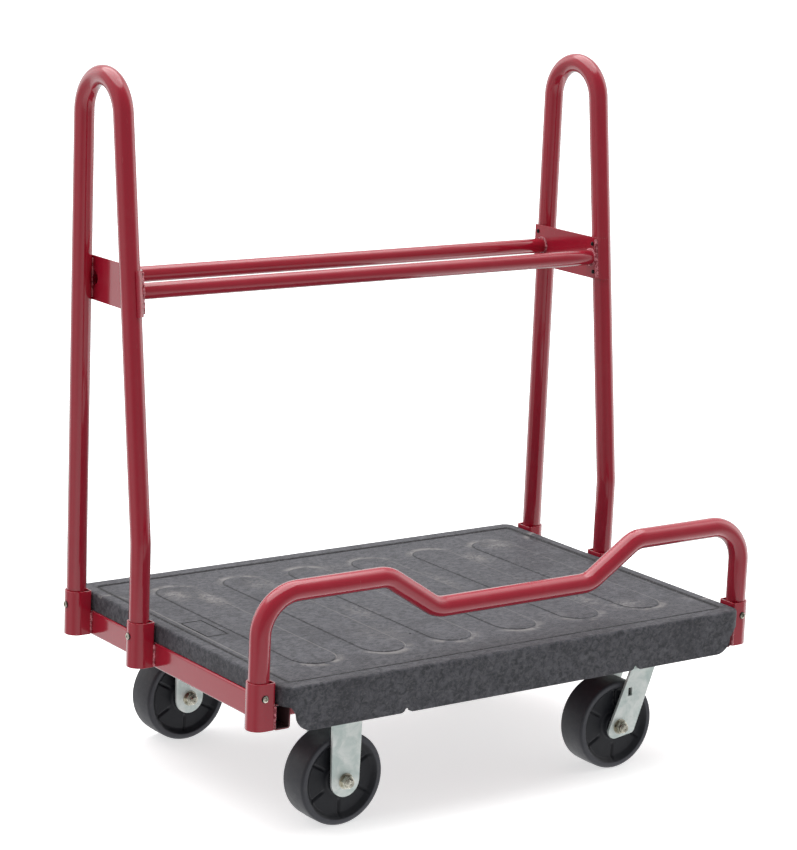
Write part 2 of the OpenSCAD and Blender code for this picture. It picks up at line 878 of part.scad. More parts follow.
at_swivel(-1) swivel_plate();  // swivel_plate_front
at_swivel(-1) swivel_kingpin();  // swivel_kingpin_front
at_swivel(-1) swivel_balls();  // swivel_balls_front
at_swivel(-1) swivel_fork();  // swivel_fork_front
at_swivel(-1) caster_wheel(-trail);  // swivel_wheel_front
at_swivel(-1) caster_bearing(-trail);  // swivel_bearing_front
at_swivel(-1) caster_bush(-trail);  // swivel_bush_front
at_swivel(-1) caster_axle(-trail);  // swivel_axle_front
at_swivel(-1) caster_nut(-trail);  // swivel_nut_front
at_swivel(-1) plate_bolts();  // swivel_plate_bolts_front
at_swivel(1) swivel_plate();  // swivel_plate_rear
at_swivel(1) swivel_kingpin();  // swivel_kingpin_rear
at_swivel(1) swivel_balls();  // swivel_balls_rear
at_swivel(1) swivel_fork();  // swivel_fork_rear
at_swivel(1) caster_wheel(-trail);  // swivel_wheel_rear
at_swivel(1) caster_bearing(-trail);  // swivel_bearing_rear
at_swivel(1) caster_bush(-trail);  // swivel_bush_rear
at_swivel(1) caster_axle(-trail);  // swivel_axle_rear
at_swivel(1) caster_nut(-trail);  // swivel_nut_rear
at_swivel(1) plate_bolts();  // swivel_plate_bolts_rear
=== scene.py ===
"""Looks of the platform cart: swept tubes, folded sheet-metal forks, moulded deck and wheels.

Shapes are written in millimetres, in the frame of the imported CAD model, and become metres
when a mesh is made. X runs along the deck, the low front rail is at -Y, and Z = 0 is the floor.
"""

import math
from itertools import product

import bmesh
import bpy
import numpy as np
from mathutils import Matrix, Vector, noise


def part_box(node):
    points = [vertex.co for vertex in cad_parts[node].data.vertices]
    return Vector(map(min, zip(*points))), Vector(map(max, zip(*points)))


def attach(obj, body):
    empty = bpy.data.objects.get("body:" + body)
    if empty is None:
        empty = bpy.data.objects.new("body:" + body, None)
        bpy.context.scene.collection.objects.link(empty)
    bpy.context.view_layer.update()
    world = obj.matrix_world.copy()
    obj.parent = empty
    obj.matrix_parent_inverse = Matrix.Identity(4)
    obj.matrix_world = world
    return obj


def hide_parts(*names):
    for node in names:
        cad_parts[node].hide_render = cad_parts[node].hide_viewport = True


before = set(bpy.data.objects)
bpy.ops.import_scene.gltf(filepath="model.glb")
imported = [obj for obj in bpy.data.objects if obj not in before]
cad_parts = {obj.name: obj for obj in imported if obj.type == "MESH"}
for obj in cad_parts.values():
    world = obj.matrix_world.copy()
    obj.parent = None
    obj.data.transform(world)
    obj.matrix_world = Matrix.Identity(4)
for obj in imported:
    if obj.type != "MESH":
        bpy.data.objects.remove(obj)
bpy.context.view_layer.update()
MM = 0.001
SCENE = bpy.context.scene
X, Y, Z = Vector((1, 0, 0)), Vector((0, 1, 0)), Vector((0, 0, 1))
SIGNS = list(product((-1, 1), repeat=2))
SIDES = (-1, "left"), (1, "right")


def box(node):
    """Lowest and highest corner of a CAD node, in millimetres."""
    low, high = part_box(node)
    return low / MM, high / MM


# ---- Sizes read from the frame ----

deck_low, deck_high = box("deck")
deck_half = deck_high.x, deck_high.y
deck_top, skirt_z = deck_high.z, deck_low.z
member_low, member_high = box("end_member_left")
side_low, side_high = box("side_member_rear")
socket_low, socket_high = box("socket_front_right")
rail_low, rail_high = box("front_rail")
upright_low, upright_high = box("upright_right")
bar_low, bar_high = box("crossbar_front")
rear_bar_low, rear_bar_high = box("crossbar_rear")
bracket_low, bracket_high = box("bracket_right")
plate_low, plate_high = box("rigid_fork_front")
wheel_low, wheel_high = box("rigid_wheel_front")
swivel_wheel_low, swivel_wheel_high = box("swivel_wheel_front")
swivel_plate_low, swivel_plate_high = box("swivel_plate_front")
crown_top = box("swivel_fork_front")[1].z

post_r = (upright_high.x - upright_low.x) / 2
post_x = (upright_high.x + upright_low.x) / 2
rear_y = upright_high.y - post_r
front_y = upright_low.y + post_r
post_low = upright_low.z
arch_top = upright_high.z - post_r
rail_y = rail_low.y + post_r
rail_top = rail_high.z - post_r
bar_r = (bar_high.z - bar_low.z) / 2
bar_z = (bar_high.z + bar_low.z) / 2
bar_ys = (bar_high.y + bar_low.y) / 2, (rear_bar_high.y + rear_bar_low.y) / 2
bar_end = bar_high.x
socket_r = (socket_high.x - socket_low.x) / 2
wheel_r = (wheel_high.z - wheel_low.z) / 2
axle_z = (wheel_high.z + wheel_low.z) / 2
rigid_x = (wheel_high.x + wheel_low.x) / 2
swivel_x = (swivel_plate_high.x + swivel_plate_low.x) / 2
swivel_axle_x = (swivel_wheel_high.x + swivel_wheel_low.x) / 2
caster_y = (plate_high.y + plate_low.y) / -2
caster_h = plate_high.z

# Sizes that boxes don't give
post_t = 2.6
bar_t = 2.0
lean = math.radians(6.8)
lean_z = 397
lean_bend_r = 60
rail_corner_r = 65
rail_low_z = 340
dip_top_x = 248
dip_bottom_x = 153
dip_bend_r = 50
member_t = 2.6
member_corner_r = 4
socket_t = 2.7
socket_corner_r = 5
bracket_t = 3
leg_t = 4.8
leg_out = 36.7
crown_bend_r = 8
plate_t = 6.4
plate_corner_r = 8
plate_hole_r = 4.5
plate_holes = 92 / 2, 76 / 2
axle_r = 6.35
kingpin_r = 6.35

# ---- Camera ----


def make_camera():
    azimuth, elevation, roll = map(math.radians, (-35.818, 12.517, 2.378))
    target, distance = Vector((-37.4, 0, 564)) * MM, 4.667
    back = Vector(
        (
            math.sin(azimuth) * math.cos(elevation),
            -math.cos(azimuth) * math.cos(elevation),
            math.sin(elevation),
        )
    )
    right = (-back).cross(Z).normalized()
    up = right.cross(-back)
    rolled_right = right * math.cos(roll) + up * math.sin(roll)
    rolled_up = up * math.cos(roll) - right * math.sin(roll)
    camera = bpy.data.objects.new("camera", bpy.data.cameras.new("camera"))
    camera.data.lens = 119.69
    camera.data.clip_end = 200
    turn = Matrix((rolled_right, rolled_up, back)).transposed().to_4x4()
    camera.matrix_world = Matrix.Translation(target + back * distance) @ turn
    SCENE.collection.objects.link(camera)
    SCENE.camera = camera


# ---- Node helpers ----


class Graph:
    """Builds shader nodes; a value given to a socket may be another node's output."""

    def __init__(self, tree):
        self.tree = tree

    def feed(self, socket, value):
        if isinstance(value, bpy.types.NodeSocket):
            self.tree.links.new(value, socket)
        else:
            socket.default_value = value

    def add(self, kind, sockets=None, **settings):
        made = self.tree.nodes.new("ShaderNode" + kind)
        for key, value in settings.items():
            setattr(made, key, value)
        for key, value in (sockets or {}).items():
            self.feed(made.inputs[key], value)
        return made

    def calc(self, operation, a, b=0.0):
        return self.add("Math", {0: a, 1: b}, operation=operation).outputs[0]

    def plus(self, a, b):
        return self.calc("ADD", a, b)

    def minus(self, a, b):
        return self.calc("SUBTRACT", a, b)

    def times(self, a, b):
        return self.calc("MULTIPLY", a, b)

    def larger(self, a, b):
        return self.calc("MAXIMUM", a, b)

    def positive(self, a):
        return self.calc("ABSOLUTE", a)

    def length(self, x, y):
        vector = self.add("CombineXYZ", {0: x, 1: y}).outputs[0]
        return self.add("VectorMath", {0: vector}, operation="LENGTH").outputs["Value"]

    def ramp(self, value, low, high, to_low=0.0, to_high=1.0):
        """A smooth step of a value from low to high."""
        sockets = {0: value, 1: low, 2: high, 3: to_low, 4: to_high}
        return self.add("MapRange", sockets, interpolation_type="SMOOTHSTEP").outputs[0]

    def mix(self, share, a, b):
        """From colour a to colour b."""
        return self.add("Mix", {0: share, 6: a, 7: b}, data_type="RGBA").outputs[2]


class Material(Graph):
    """A Principled material whose nodes start from the object's coordinates in metres."""

    def __init__(self, name):
        self.data = bpy.data.materials.new(name)
        self.data.use_nodes = True
        super().__init__(self.data.node_tree)
        self.shader = self.tree.nodes["Principled BSDF"]
        self.place = self.add("TexCoord").outputs["Object"]

    def set(self, name, value):
        self.feed(self.shader.inputs[name], value)

    def shade(self):
        """The number that piece() stores at each point."""
        return self.add("Attribute", attribute_name="shade").outputs["Fac"]

    def speckle(self, scale, detail=3.0, rough=0.55, stretch=(1, 1, 1), warp=0.0):
        """Noise; scale is the number of blotches along one metre."""
        place = self.place
        if stretch != (1, 1, 1):
            place = self.add("Mapping", {"Vector": place, "Scale": stretch}).outputs[0]
        sockets = {"Vector": place, "Scale": scale, "Detail": detail, "Roughness": rough}
        return self.add("TexNoise", {**sockets, "Distortion": warp}).outputs["Fac"]

    def bumps(self, *layers):
        """Chains bump layers of (height, distance in metres) into the shader's normal."""
        sockets = {}
        for height, distance in layers:
            sockets |= {"Height": height, "Distance": distance, "Strength": 1.0}
            sockets["Normal"] = self.add("Bump", sockets).outputs[0]
        self.set("Normal", sockets["Normal"])


def rgb(red, green, blue):
    """Linear colour from an sRGB one on the 0 to 255 scale."""
    share = [c / 255 for c in (red, green, blue)]
    return (*[c / 12.92 if c < 0.04 else ((c + 0.055) / 1.055) ** 2.4 for c in share], 1)


# ---- Materials ----


def paint_material():
    """Glossy red powder coat with a faint orange peel; the insides of members are coloured a
    darker red.
    """
    m = Material("red_paint")
    haze = m.ramp(m.speckle(26, 5, 0.65, warp=0.6), 0.42, 0.75)
    scratch = m.ramp(m.speckle(240, 2, 0.5, (1, 1, 0.06), 0.3), 0.70, 0.76)
    colour = m.mix(m.speckle(9, 4), rgb(169, 22, 46), rgb(177, 27, 51))
    colour = m.mix(m.times(haze, 0.03), colour, rgb(190, 120, 125))
    colour = m.mix(m.times(scratch, 0.08), colour, rgb(205, 130, 135))
    # The insides of the hollow members, given by the shade attribute, are coloured a darker red
    m.set("Base Color", m.mix(m.shade(), colour, rgb(100, 72, 74)))
    m.set("Roughness", m.ramp(haze, 0, 1, 0.18, 0.26))
    m.set("Specular IOR Level", 0.3)
    m.set("Coat Weight", 1.0)
    m.set("Coat Roughness", 0.08)
    m.bumps((m.speckle(420, 2, 0.4), 0.00004), (m.speckle(60, 2), 0.00004))
    return m.data


def weld_material():
    """Paint over a weld: the same red, duller, with painted highlights as pale glints on its
    ripples.
    """
    m = Material("painted_weld")
    painted_glint_mask = m.ramp(m.speckle(160, 4, 0.7), 0.4, 0.6)
    # Painted highlight: the pale colour paints glints on the bead's ripples
    m.set("Base Color", m.mix(painted_glint_mask, rgb(140, 30, 46), rgb(226, 138, 148)))
    m.set("Roughness", m.ramp(painted_glint_mask, 0.3, 0.7, 0.3, 0.5))
    m.bumps((m.speckle(700, 3), 0.0003))
    return m.data


def deck_material():
    """Dark moulded plastic with a pebbled grain, mottling, scuff marks and wear at the pad ends;
    painted shade darkens the grooves, the inside of the pad ends and the pads' left edges, and a
    painted highlight pales their right edges.
    """
    m = Material("deck_plastic")
    axes = m.add("SeparateXYZ", {0: m.place}).outputs
    x, y = (m.calc("DIVIDE", axes[i], MM) for i in (0, 1))
    top = m.ramp(axes[2], (deck_top - 6) * MM, (deck_top - 3) * MM)

    mottle = m.speckle(92, 6, 0.74, (1, 1.3, 1), 0.6)
    grain = m.speckle(190, 4, 0.7, (0.6, 1.5, 1))
    stain = m.ramp(m.speckle(9, 5, 0.6, warp=1.2), 0.50, 0.64)
    base = m.mix(m.ramp(mottle, 0.36, 0.64), rgb(52, 53, 58), rgb(92, 92, 98))
    base = m.mix(m.times(stain, 0.5), base, rgb(52, 52, 58))

    # Distance from the nearest pad's outline: the pads repeat along X
    cell = m.calc("FLOORED_MODULO", m.plus(x, PAD_PITCH * PAD_COUNT / 2), PAD_PITCH)
    across = m.minus(cell, PAD_PITCH / 2)
    beyond = m.larger(m.minus(m.positive(y), (PAD_L - PAD_W) / 2), 0)
    outside = m.minus(m.length(across, beyond), PAD_W / 2)
    patchy = m.speckle(30, 5, 0.7, warp=1.0)
    at_end = m.ramp(beyond, 6, 34)
    crescent = m.times(m.ramp(outside, 0, 3), m.ramp(outside, 18, 5))
    crescent = m.times(m.times(crescent, at_end), m.ramp(patchy, 0.38, 0.58))
    # Painted shade: patchy darkening just inside both pad ends
    pad_end_painted_shade = m.times(m.ramp(outside, -2, -14), at_end)
    pad_end_painted_shade = m.times(pad_end_painted_shade, m.ramp(patchy, 0.36, 0.56))
    # Painted light along the pad outlines: painted shade on the left edges, a painted highlight on
    # the right edges
    edge = m.ramp(m.positive(m.minus(outside, 0.6)), 2.2, 0.6)
    painted_shade_edge = m.times(edge, m.ramp(across, 8, -20))
    painted_highlight_edge = m.times(edge, m.ramp(across, 20, 38))

    # Painted shade and grime in the groove inside the rim
    beyond_x = m.minus(m.positive(x), deck_half[0] - RIM_END)
    beyond_y = m.minus(m.positive(y), deck_half[1] - RIM_SIDE)
    groove = m.larger(m.times(beyond_x, 0.7), beyond_y)
    groove = m.ramp(m.positive(groove), 5.0, 1.5)

    # Painted shade and grime in the outline of the blank name plate
    label_x, label_y, label_w, label_l = LABEL
    beyond_x = m.minus(m.positive(m.minus(x, label_x)), label_w / 2 - 1)
    beyond_y = m.minus(m.positive(m.minus(y, label_y)), label_l / 2 - 1)
    outline = m.positive(m.larger(beyond_x, beyond_y))
    groove = m.larger(groove, m.ramp(outline, 2.6, 0.8))

    broken = m.ramp(m.speckle(75, 8, 0.78, (1, 1.6, 1), 0.9), 0.45, 0.56)
    # Pale scuff marks, together with the painted highlight on the pads' right edges
    scuffs_and_painted_highlight = m.larger(crescent, m.times(painted_highlight_edge, 0.7))
    for cx, cy, rx, ry, strength in SCUFFS:
        dx, dy = (m.calc("DIVIDE", m.minus(v, c), r) for v, c, r in ((x, cx, rx), (y, cy, ry)))
        patch = m.ramp(m.length(dx, dy), 1.1, 0.2, 0, strength)
        scuffs_and_painted_highlight = m.larger(scuffs_and_painted_highlight, m.times(patch, broken))
    streak = m.ramp(m.speckle(46, 4, 0.7, (0.22, 3.2, 1), 0.4), 0.60, 0.72)
    scuffs_and_painted_highlight = m.times(m.larger(scuffs_and_painted_highlight, m.times(streak, 0.30)), top)
    # Grime and painted shade: the grooves, the inside of the pad ends and the pads' left edges are
    # darkened
    dirt_and_painted_shade = m.larger(m.times(pad_end_painted_shade, 0.45), m.times(painted_shade_edge, 0.75))
    dirt_and_painted_shade = m.larger(dirt_and_painted_shade, m.times(groove, 0.9))
    worn_and_painted_light = m.mix(m.times(scuffs_and_painted_highlight, 0.7), base, rgb(150, 147, 145))
    worn_and_painted_light = m.mix(m.times(dirt_and_painted_shade, top), worn_and_painted_light, rgb(34, 34, 37))
    worn_and_painted_light = m.mix(m.times(m.ramp(grain, 0.50, 0.66), 0.34), worn_and_painted_light, rgb(120, 119, 122))

    m.set("Base Color", worn_and_painted_light)
    m.set("Specular IOR Level", 0.35)
    rough = m.plus(m.times(mottle, 0.2), 0.48)
    m.set("Roughness", m.plus(rough, m.times(scuffs_and_painted_highlight, 0.12)))
    sockets = {"Vector": m.place, "Scale": 380.0}
    pebble = m.add("TexVoronoi", sockets, feature="SMOOTH_F1").outputs["Distance"]
    m.bumps((pebble, 0.00022), (grain, 0.00025), (mottle, 0.0012))
    return m.data


def zinc_material():
    """Bright zinc plating: soft blotches, drawing marks and a thin bluish film."""
    m = Material("zinc_plate")
    cloud = m.speckle(38, 5, 0.6, warp=0.5)
    marks = m.speckle(180, 4, 0.6, (1, 1, 0.16))
    tarnish = m.ramp(m.speckle(95, 6, 0.75, warp=0.8), 0.60, 0.74)
    colour = m.mix(m.ramp(cloud, 0.3, 0.7), rgb(210, 224, 220), rgb(250, 255, 252))
    m.set("Base Color", m.mix(m.times(tarnish, 0.32), colour, rgb(158, 160, 150)))
    m.set("Metallic", 0.35)
    m.set("Roughness", m.ramp(marks, 0.3, 0.7, 0.34, 0.48))
    m.bumps((marks, 0.00006), (cloud, 0.0003))
    return m.data


def steel_material(name, light, dark, low_rough, high_rough):
    """Turned or rolled metal: fine turning marks and a few stains."""
    m = Material(name)
    marks = m.speckle(900, 2, 0.5)
    stain = m.ramp(m.speckle(60, 4, 0.6, warp=0.5), 0.35, 0.7)
    m.set("Base Color", m.mix(stain, light, dark))
    m.set("Metallic", 0.95)
    m.set("Roughness", m.ramp(marks, 0.3, 0.7, low_rough, high_rough))
    m.bumps((marks, 0.00001))
    return m.data


def wheel_material():
    """Dark grey moulded wheel: the raised rim ring and the tread are painted paler and the dish
    darker, as painted light and shade, with dust on the raised faces.
    """
    m = Material("wheel_rubber")
    raised = m.shade()
    cloud = m.speckle(34, 6, 0.68, warp=0.8)
    dust = m.ramp(m.speckle(120, 6, 0.72, warp=0.5), 0.46, 0.70)
    # Painted light and shade: raised faces paler, the dish and pockets darker
    colour = m.mix(raised, rgb(23, 25, 31), rgb(80, 81, 87))
    colour = m.mix(m.times(m.ramp(cloud, 0.35, 0.7), 0.16), colour, rgb(66, 66, 71))
    film = m.times(m.times(dust, raised), 0.16)
    m.set("Base Color", m.mix(film, colour, rgb(120, 117, 114)))
    m.set("Roughness", m.ramp(cloud, 0.3, 0.7, 0.38, 0.52))
    m.set("Specular IOR Level", 0.3)
    m.bumps((m.speckle(800, 2), 0.00012), (cloud, 0.0004))
    return m.data


# The deck's pads, name plate, groove (from the edges) and scuffed places
PAD_COUNT = 6
PAD_PITCH = 132
PAD_W, PAD_L = 78, 474
LABEL = -400, 6, 40, 84  # centre and size
RIM_END, RIM_SIDE = 23, 28
SCUFFS = [  # centre, half sizes, strength
    (-342, 185, 34, 42, 0.9),
    (-300, 145, 26, 60, 1.0),
    (-180, 180, 40, 40, 0.5),
    (-120, -30, 26, 60, 0.55),
    (-165, -150, 60, 60, 0.3),
    (115, 60, 16, 90, 0.6),
    (258, 155, 34, 46, 0.8),
    (342, 205, 40, 38, 0.85),
    (262, -150, 26, 40, 0.75),
    (300, -205, 50, 30, 0.7),
    (-20, 215, 60, 26, 0.35),
    (150, -200, 40, 30, 0.3),
]

RED = paint_material()
WELD = weld_material()
DECK = deck_material()
ZINC = zinc_material()
STEEL = steel_material("bright_steel", rgb(218, 215, 202), rgb(146, 142, 128), 0.14, 0.22)
BLACK = steel_material("black_oxide", rgb(34, 33, 35), rgb(58, 55, 56), 0.30, 0.46)
WHEEL = wheel_material()

# ---- Mesh helpers, in millimetres ----


def piece(name, bm, material, body="root", nodes=(), sharp=32, weighted=True, shade=None):
    """Turns the bmesh into a piece that rides on a body and stands for the CAD nodes.

    The function shade gives each point a number that the material reads.
    """
    bmesh.ops.remove_doubles(bm, verts=bm.verts, dist=0.002)
    bmesh.ops.dissolve_degenerate(bm, edges=bm.edges, dist=0.0005)
    bmesh.ops.recalc_face_normals(bm, faces=bm.faces)
    mesh = bpy.data.meshes.new(name)
    if shade:
        values = [shade(v.co) for v in bm.verts]
    bmesh.ops.scale(bm, vec=(MM, MM, MM), verts=bm.verts)
    bm.to_mesh(mesh)
    bm.free()
    if shade:
        mesh.attributes.new("shade", "FLOAT", "POINT").data.foreach_set("value", values)
    mesh.shade_smooth()
    mesh.set_sharp_from_angle(angle=math.radians(sharp))
    mesh.materials.append(material)
    obj = bpy.data.objects.new(name, mesh)
    SCENE.collection.objects.link(obj)
    if weighted:
        modifier = obj.modifiers.new("flat faces stay flat", "WEIGHTED_NORMAL")
        modifier.keep_sharp = True
    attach(obj, body)
    if nodes:
        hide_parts(*nodes)
    return obj


def loft(bm, rings, close_loft=False):
    """Skins a list of closed rings, each a list of points with the same count."""
    rows = [[bm.verts.new(p) for p in ring] for ring in rings]
    count = len(rows[0])
    following = rows[1:] + ([rows[0]] if close_loft else [])
    for a, b in zip(rows, following):
        for i in range(count):
            j = (i + 1) % count
            bm.faces.new((a[i], a[j], b[j], b[i]))
    return rows


def full_turn(steps):
    return np.linspace(0, 2 * math.pi, steps, endpoint=False)


def spin(r, t, z):
    """A point at radius r, angle t and height z."""
    return Vector((r * math.cos(t), r * math.sin(t), z))


def arc(cx, cy, r, start, end, steps):
    """Points of a circular arc, angles in degrees."""
    turns = np.radians(np.linspace(start, end, steps + 1))
    return [(cx + r * math.cos(t), cy + r * math.sin(t)) for t in turns]


def circle(cx, cy, r, steps=32):
    return arc(cx, cy, r, 0, 360, steps)[:-1]


def rounded_rect(w, h, r, cx=0, cy=0, steps=6):
    corners = ((1, 1, 0), (-1, 1, 90), (-1, -1, 180), (1, -1, 270))
    out = []
    for sx, sy, start in corners:
        out += arc(cx + sx * (w / 2 - r), cy + sy * (h / 2 - r), r, start, start + 90, steps)
    return out


def hole(loop):
    """The same loop running the other way, for a hole."""
    return loop[::-1]


def inset(loop, depth):
    """The loop moved to the left of its direction, which is into the material."""
    points = np.array(loop, float)
    edge = np.roll(points, -1, 0) - points
    edge /= np.linalg.norm(edge, axis=1)[:, None]
    left = np.stack([-edge[:, 1], edge[:, 0]], 1)
    before = np.roll(left, 1, 0)
    mitre = (left + before) / (1 + (left * before).sum(1))[:, None]
    return points + depth * mitre


def fill(bm, rows):
    """Fills the flat region between closed rows of vertices."""
    edges = []
    for row in rows:
        for a, b in zip(row, row[1:] + row[:1]):
            edges.append(bm.edges.get((a, b)) or bm.edges.new((a, b)))
    bmesh.ops.triangle_fill(bm, use_beauty=True, use_dissolve=False, edges=edges)


def edge_levels(z0, z1, soft, steps=3):
    """(inset, z) levels of a wall from z0 to z1 with rounded edges."""
    out = []
    for i in range(steps + 1):
        a = math.pi / 2 * i / steps
        out.append((soft * (1 - math.sin(a)), z0 + soft * (1 - math.cos(a))))
    return out + [(d, z0 + z1 - z) for d, z in out[::-1]]


def solid(bm, loops, z0, z1, soft=0.4, place=None):
    """A plate between z0 and z1 with rounded edges; later loops are holes, run backwards."""
    made = bmesh.new()
    levels = edge_levels(z0, z1, soft)
    first, last = [], []
    for loop in loops:
        rings = [[(p[0], p[1], z) for p in inset(loop, d)] for d, z in levels]
        rows = loft(made, rings)
        first.append(rows[0])
        last.append(rows[-1])
    fill(made, first)
    fill(made, last)
    join(bm, made, place)


def join(bm, other, place=None):
    """Adds another bmesh, moved by a matrix, and frees it."""
    if place is not None:
        bmesh.ops.transform(other, matrix=place, verts=other.verts)
        if place.determinant() < 0:
            bmesh.ops.reverse_faces(other, faces=other.faces)
    mesh = bpy.data.meshes.new("joined")
    other.to_mesh(mesh)
    other.free()
    bm.from_mesh(mesh)
    bpy.data.meshes.remove(mesh)


def axes(origin, x_axis, y_axis, z_axis):
    """A matrix that puts local X, Y and Z along the given directions."""
    turn = Matrix((x_axis, y_axis, z_axis)).transposed().to_4x4()
    return Matrix.Translation(origin) @ turn


def at(x, y, z):
    return Matrix.Translation((x, y, z))


def lathe(bm, profile, place=None, sides=48):
    """Turns a closed (radius, height) profile about local Z."""
    made = bmesh.new()
    rings = [[spin(r, t, h) for t in full_turn(sides)] for r, h in profile]
    loft(made, rings, close_loft=True)
    join(bm, made, place)


def bent(corners, radii, step=4):
    """A path through the corners with an arc of the given radius at each inner corner."""
    points = [Vector(corners[0])]
    for before, corner, after, radius in zip(corners, corners[1:], corners[2:], radii):
        corner = Vector(corner)
        into = (corner - Vector(before)).normalized()
        out = (Vector(after) - corner).normalized()
        turn = into.angle(out)
        setback = radius * math.tan(turn / 2)
        start = corner - into * setback
        inward = (out - into * into.dot(out)).normalized()
        centre = start + inward * radius
        steps = max(2, round(math.degrees(turn) / step))
        for i in range(steps + 1):
            a = turn * i / steps
            points.append(centre + radius * (into * math.sin(a) - inward * math.cos(a)))
    points.append(Vector(corners[-1]))
    return points


def tube(bm, points, r, wall, normal, sides=48, rim=0.5):
    """A bent tube with open ends; its path lies in the plane with the given normal."""
    outer, inner = [], []
    last = len(points) - 1
    turns = full_turn(sides)

    def ring(p, tangent, radius, along=0.0):
        side = tangent.cross(normal).normalized()
        centre = p + tangent * along
        return [centre + radius * (normal * math.cos(t) + side * math.sin(t)) for t in turns]

    for i, p in enumerate(points):
        before, after = points[max(i - 1, 0)], points[min(i + 1, last)]
        tangent = (after - p).normalized() + (p - before).normalized()
        tangent = tangent.normalized()
        if i in (0, last):
            inward = 1 if i == 0 else -1
            lips = [(r - rim, 0), (r - 0.3 * rim, 0.3 * rim), (r, rim)]
            outer += [ring(p, tangent, radius, inward * d) for radius, d in lips[::inward]]
        else:
            outer.append(ring(p, tangent, r))
        inner.append(ring(p, tangent, r - wall))
    loft(bm, outer + inner[::-1], close_loft=True)


def bead(bm, points, away, size, seed, pitch=4.2, closed=False, sides=10):
    """A weld bead along the points: a half-round run with ripples, standing off along away,
    which is one direction, or one for each point of a closed bead."""
    rings = []
    last = len(points) - 1
    travelled = 0.0
    for i, p in enumerate(points):
        if closed:
            tangent = points[(i + 1) % (last + 1)] - points[i - 1]
        else:
            tangent = points[min(i + 1, last)] - points[max(i - 1, 0)]
        tangent.normalize()
        if i:
            travelled += (p - points[i - 1]).length
        up = Vector(away[i] if closed else away).normalized()
        side = tangent.cross(up).normalized()
        wave = 0.5 + 0.5 * math.sin(2 * math.pi * travelled / pitch)
        lump = noise.noise(Vector((travelled * 0.16, seed * 7.3, 0)))
        swell = size * (0.84 + 0.20 * wave + 0.25 * lump)
        if not closed and i in (0, last):
            swell *= 0.35
        turns = (2 * math.pi * k / sides for k in range(sides))
        rings.append([p + swell * (side * math.cos(a) + up * math.sin(a) * 0.82) for a in turns])
    rows = loft(bm, rings, close_loft=closed)
    if not closed:
        bm.faces.new(rows[0][::-1])
        bm.faces.new(rows[-1])


def run(a, b, step=0.65):
    """Evenly spaced points from a to b."""
    a, b = Vector(a), Vector(b)
    count = max(2, round((b - a).length / step))
    return [a.lerp(b, i / count) for i in range(count + 1)]


def fold(bm, start, radius, turn, sign=1, steps=7):
    """Bends the sheet beyond x = sign * start towards -Z; radius is that of its middle."""
    length = radius * turn
    for k in range(steps + 1):
        cut = sign * (start + length * k / steps)
        whole = bm.verts[:] + bm.edges[:] + bm.faces[:]
        bmesh.ops.bisect_plane(bm, geom=whole, plane_co=(cut, 0, 0), plane_no=X)
    for v in bm.verts:
        s = v.co.x * sign - start
        if s <= 0:
            continue
        a = min(s / radius, turn)
        rest = max(0.0, s - length)
        r = radius + v.co.z
        v.co.x = sign * (start + r * math.sin(a) + rest * math.cos(a))
        v.co.z = r * math.cos(a) - radius - rest * math.sin(a)


def polar(radii, height, sides, place):
    """Rings of a round surface whose height depends on radius and angle."""
    turns = full_turn(sides)
    return [[place @ spin(r, t, height(r, t)) for t in turns] for r in radii]


def step(value, low, high):
    """A smooth step of a number from low to high."""
    t = min(1.0, max(0.0, (value - low) / (high - low)))
    return t * t * (3 - 2 * t)


make_camera()

# ---- Bent tubes ----


def make_tubes():
    arch_r = (rear_y - front_y) * math.cos(lean) - (arch_top - lean_z) * math.sin(lean)
    arch_r /= 1 + math.cos(lean) - math.sin(lean)
    apex_z = lean_z + (rear_y - front_y) / math.tan(lean)
    for side, where in SIDES:
        path = [(rear_y, post_low), (rear_y, apex_z), (front_y, lean_z), (front_y, post_low)]
        corners = [(side * post_x, y, z) for y, z in path]
        bm = bmesh.new()
        tube(bm, bent(corners, (arch_r, lean_bend_r)), post_r, post_t, X)
        piece(f"upright_tube_{where}", bm, RED, nodes=[f"upright_{where}"], weighted=False)

    half = [(post_x, post_low), (post_x, rail_top)]
    half += [(dip_top_x, rail_top), (dip_bottom_x, rail_low_z)]
    corners = [(-x, rail_y, z) for x, z in half] + [(x, rail_y, z) for x, z in half[::-1]]
    radii = (rail_corner_r, *[dip_bend_r] * 4, rail_corner_r)
    bm = bmesh.new()
    tube(bm, bent(corners, radii), post_r, post_t, Y)
    piece("front_rail_tube", bm, RED, nodes=["front_rail"], weighted=False)

    for y, where in zip(bar_ys, ("front", "rear")):
        bm = bmesh.new()
        tube(bm, run((-bar_end, y, bar_z), (bar_end, y, bar_z), 60), bar_r, bar_t, Z)
        piece(f"crossbar_tube_{where}", bm, RED, nodes=[f"crossbar_{where}"], weighted=False)


# ---- Steel base ----


def hollow_outline(w):
    h = member_high.z - member_low.z
    outer = rounded_rect(w, h, member_corner_r)
    inner = rounded_rect(w - 2 * member_t, h - 2 * member_t, member_corner_r - member_t)
    return [outer, hole(inner)]


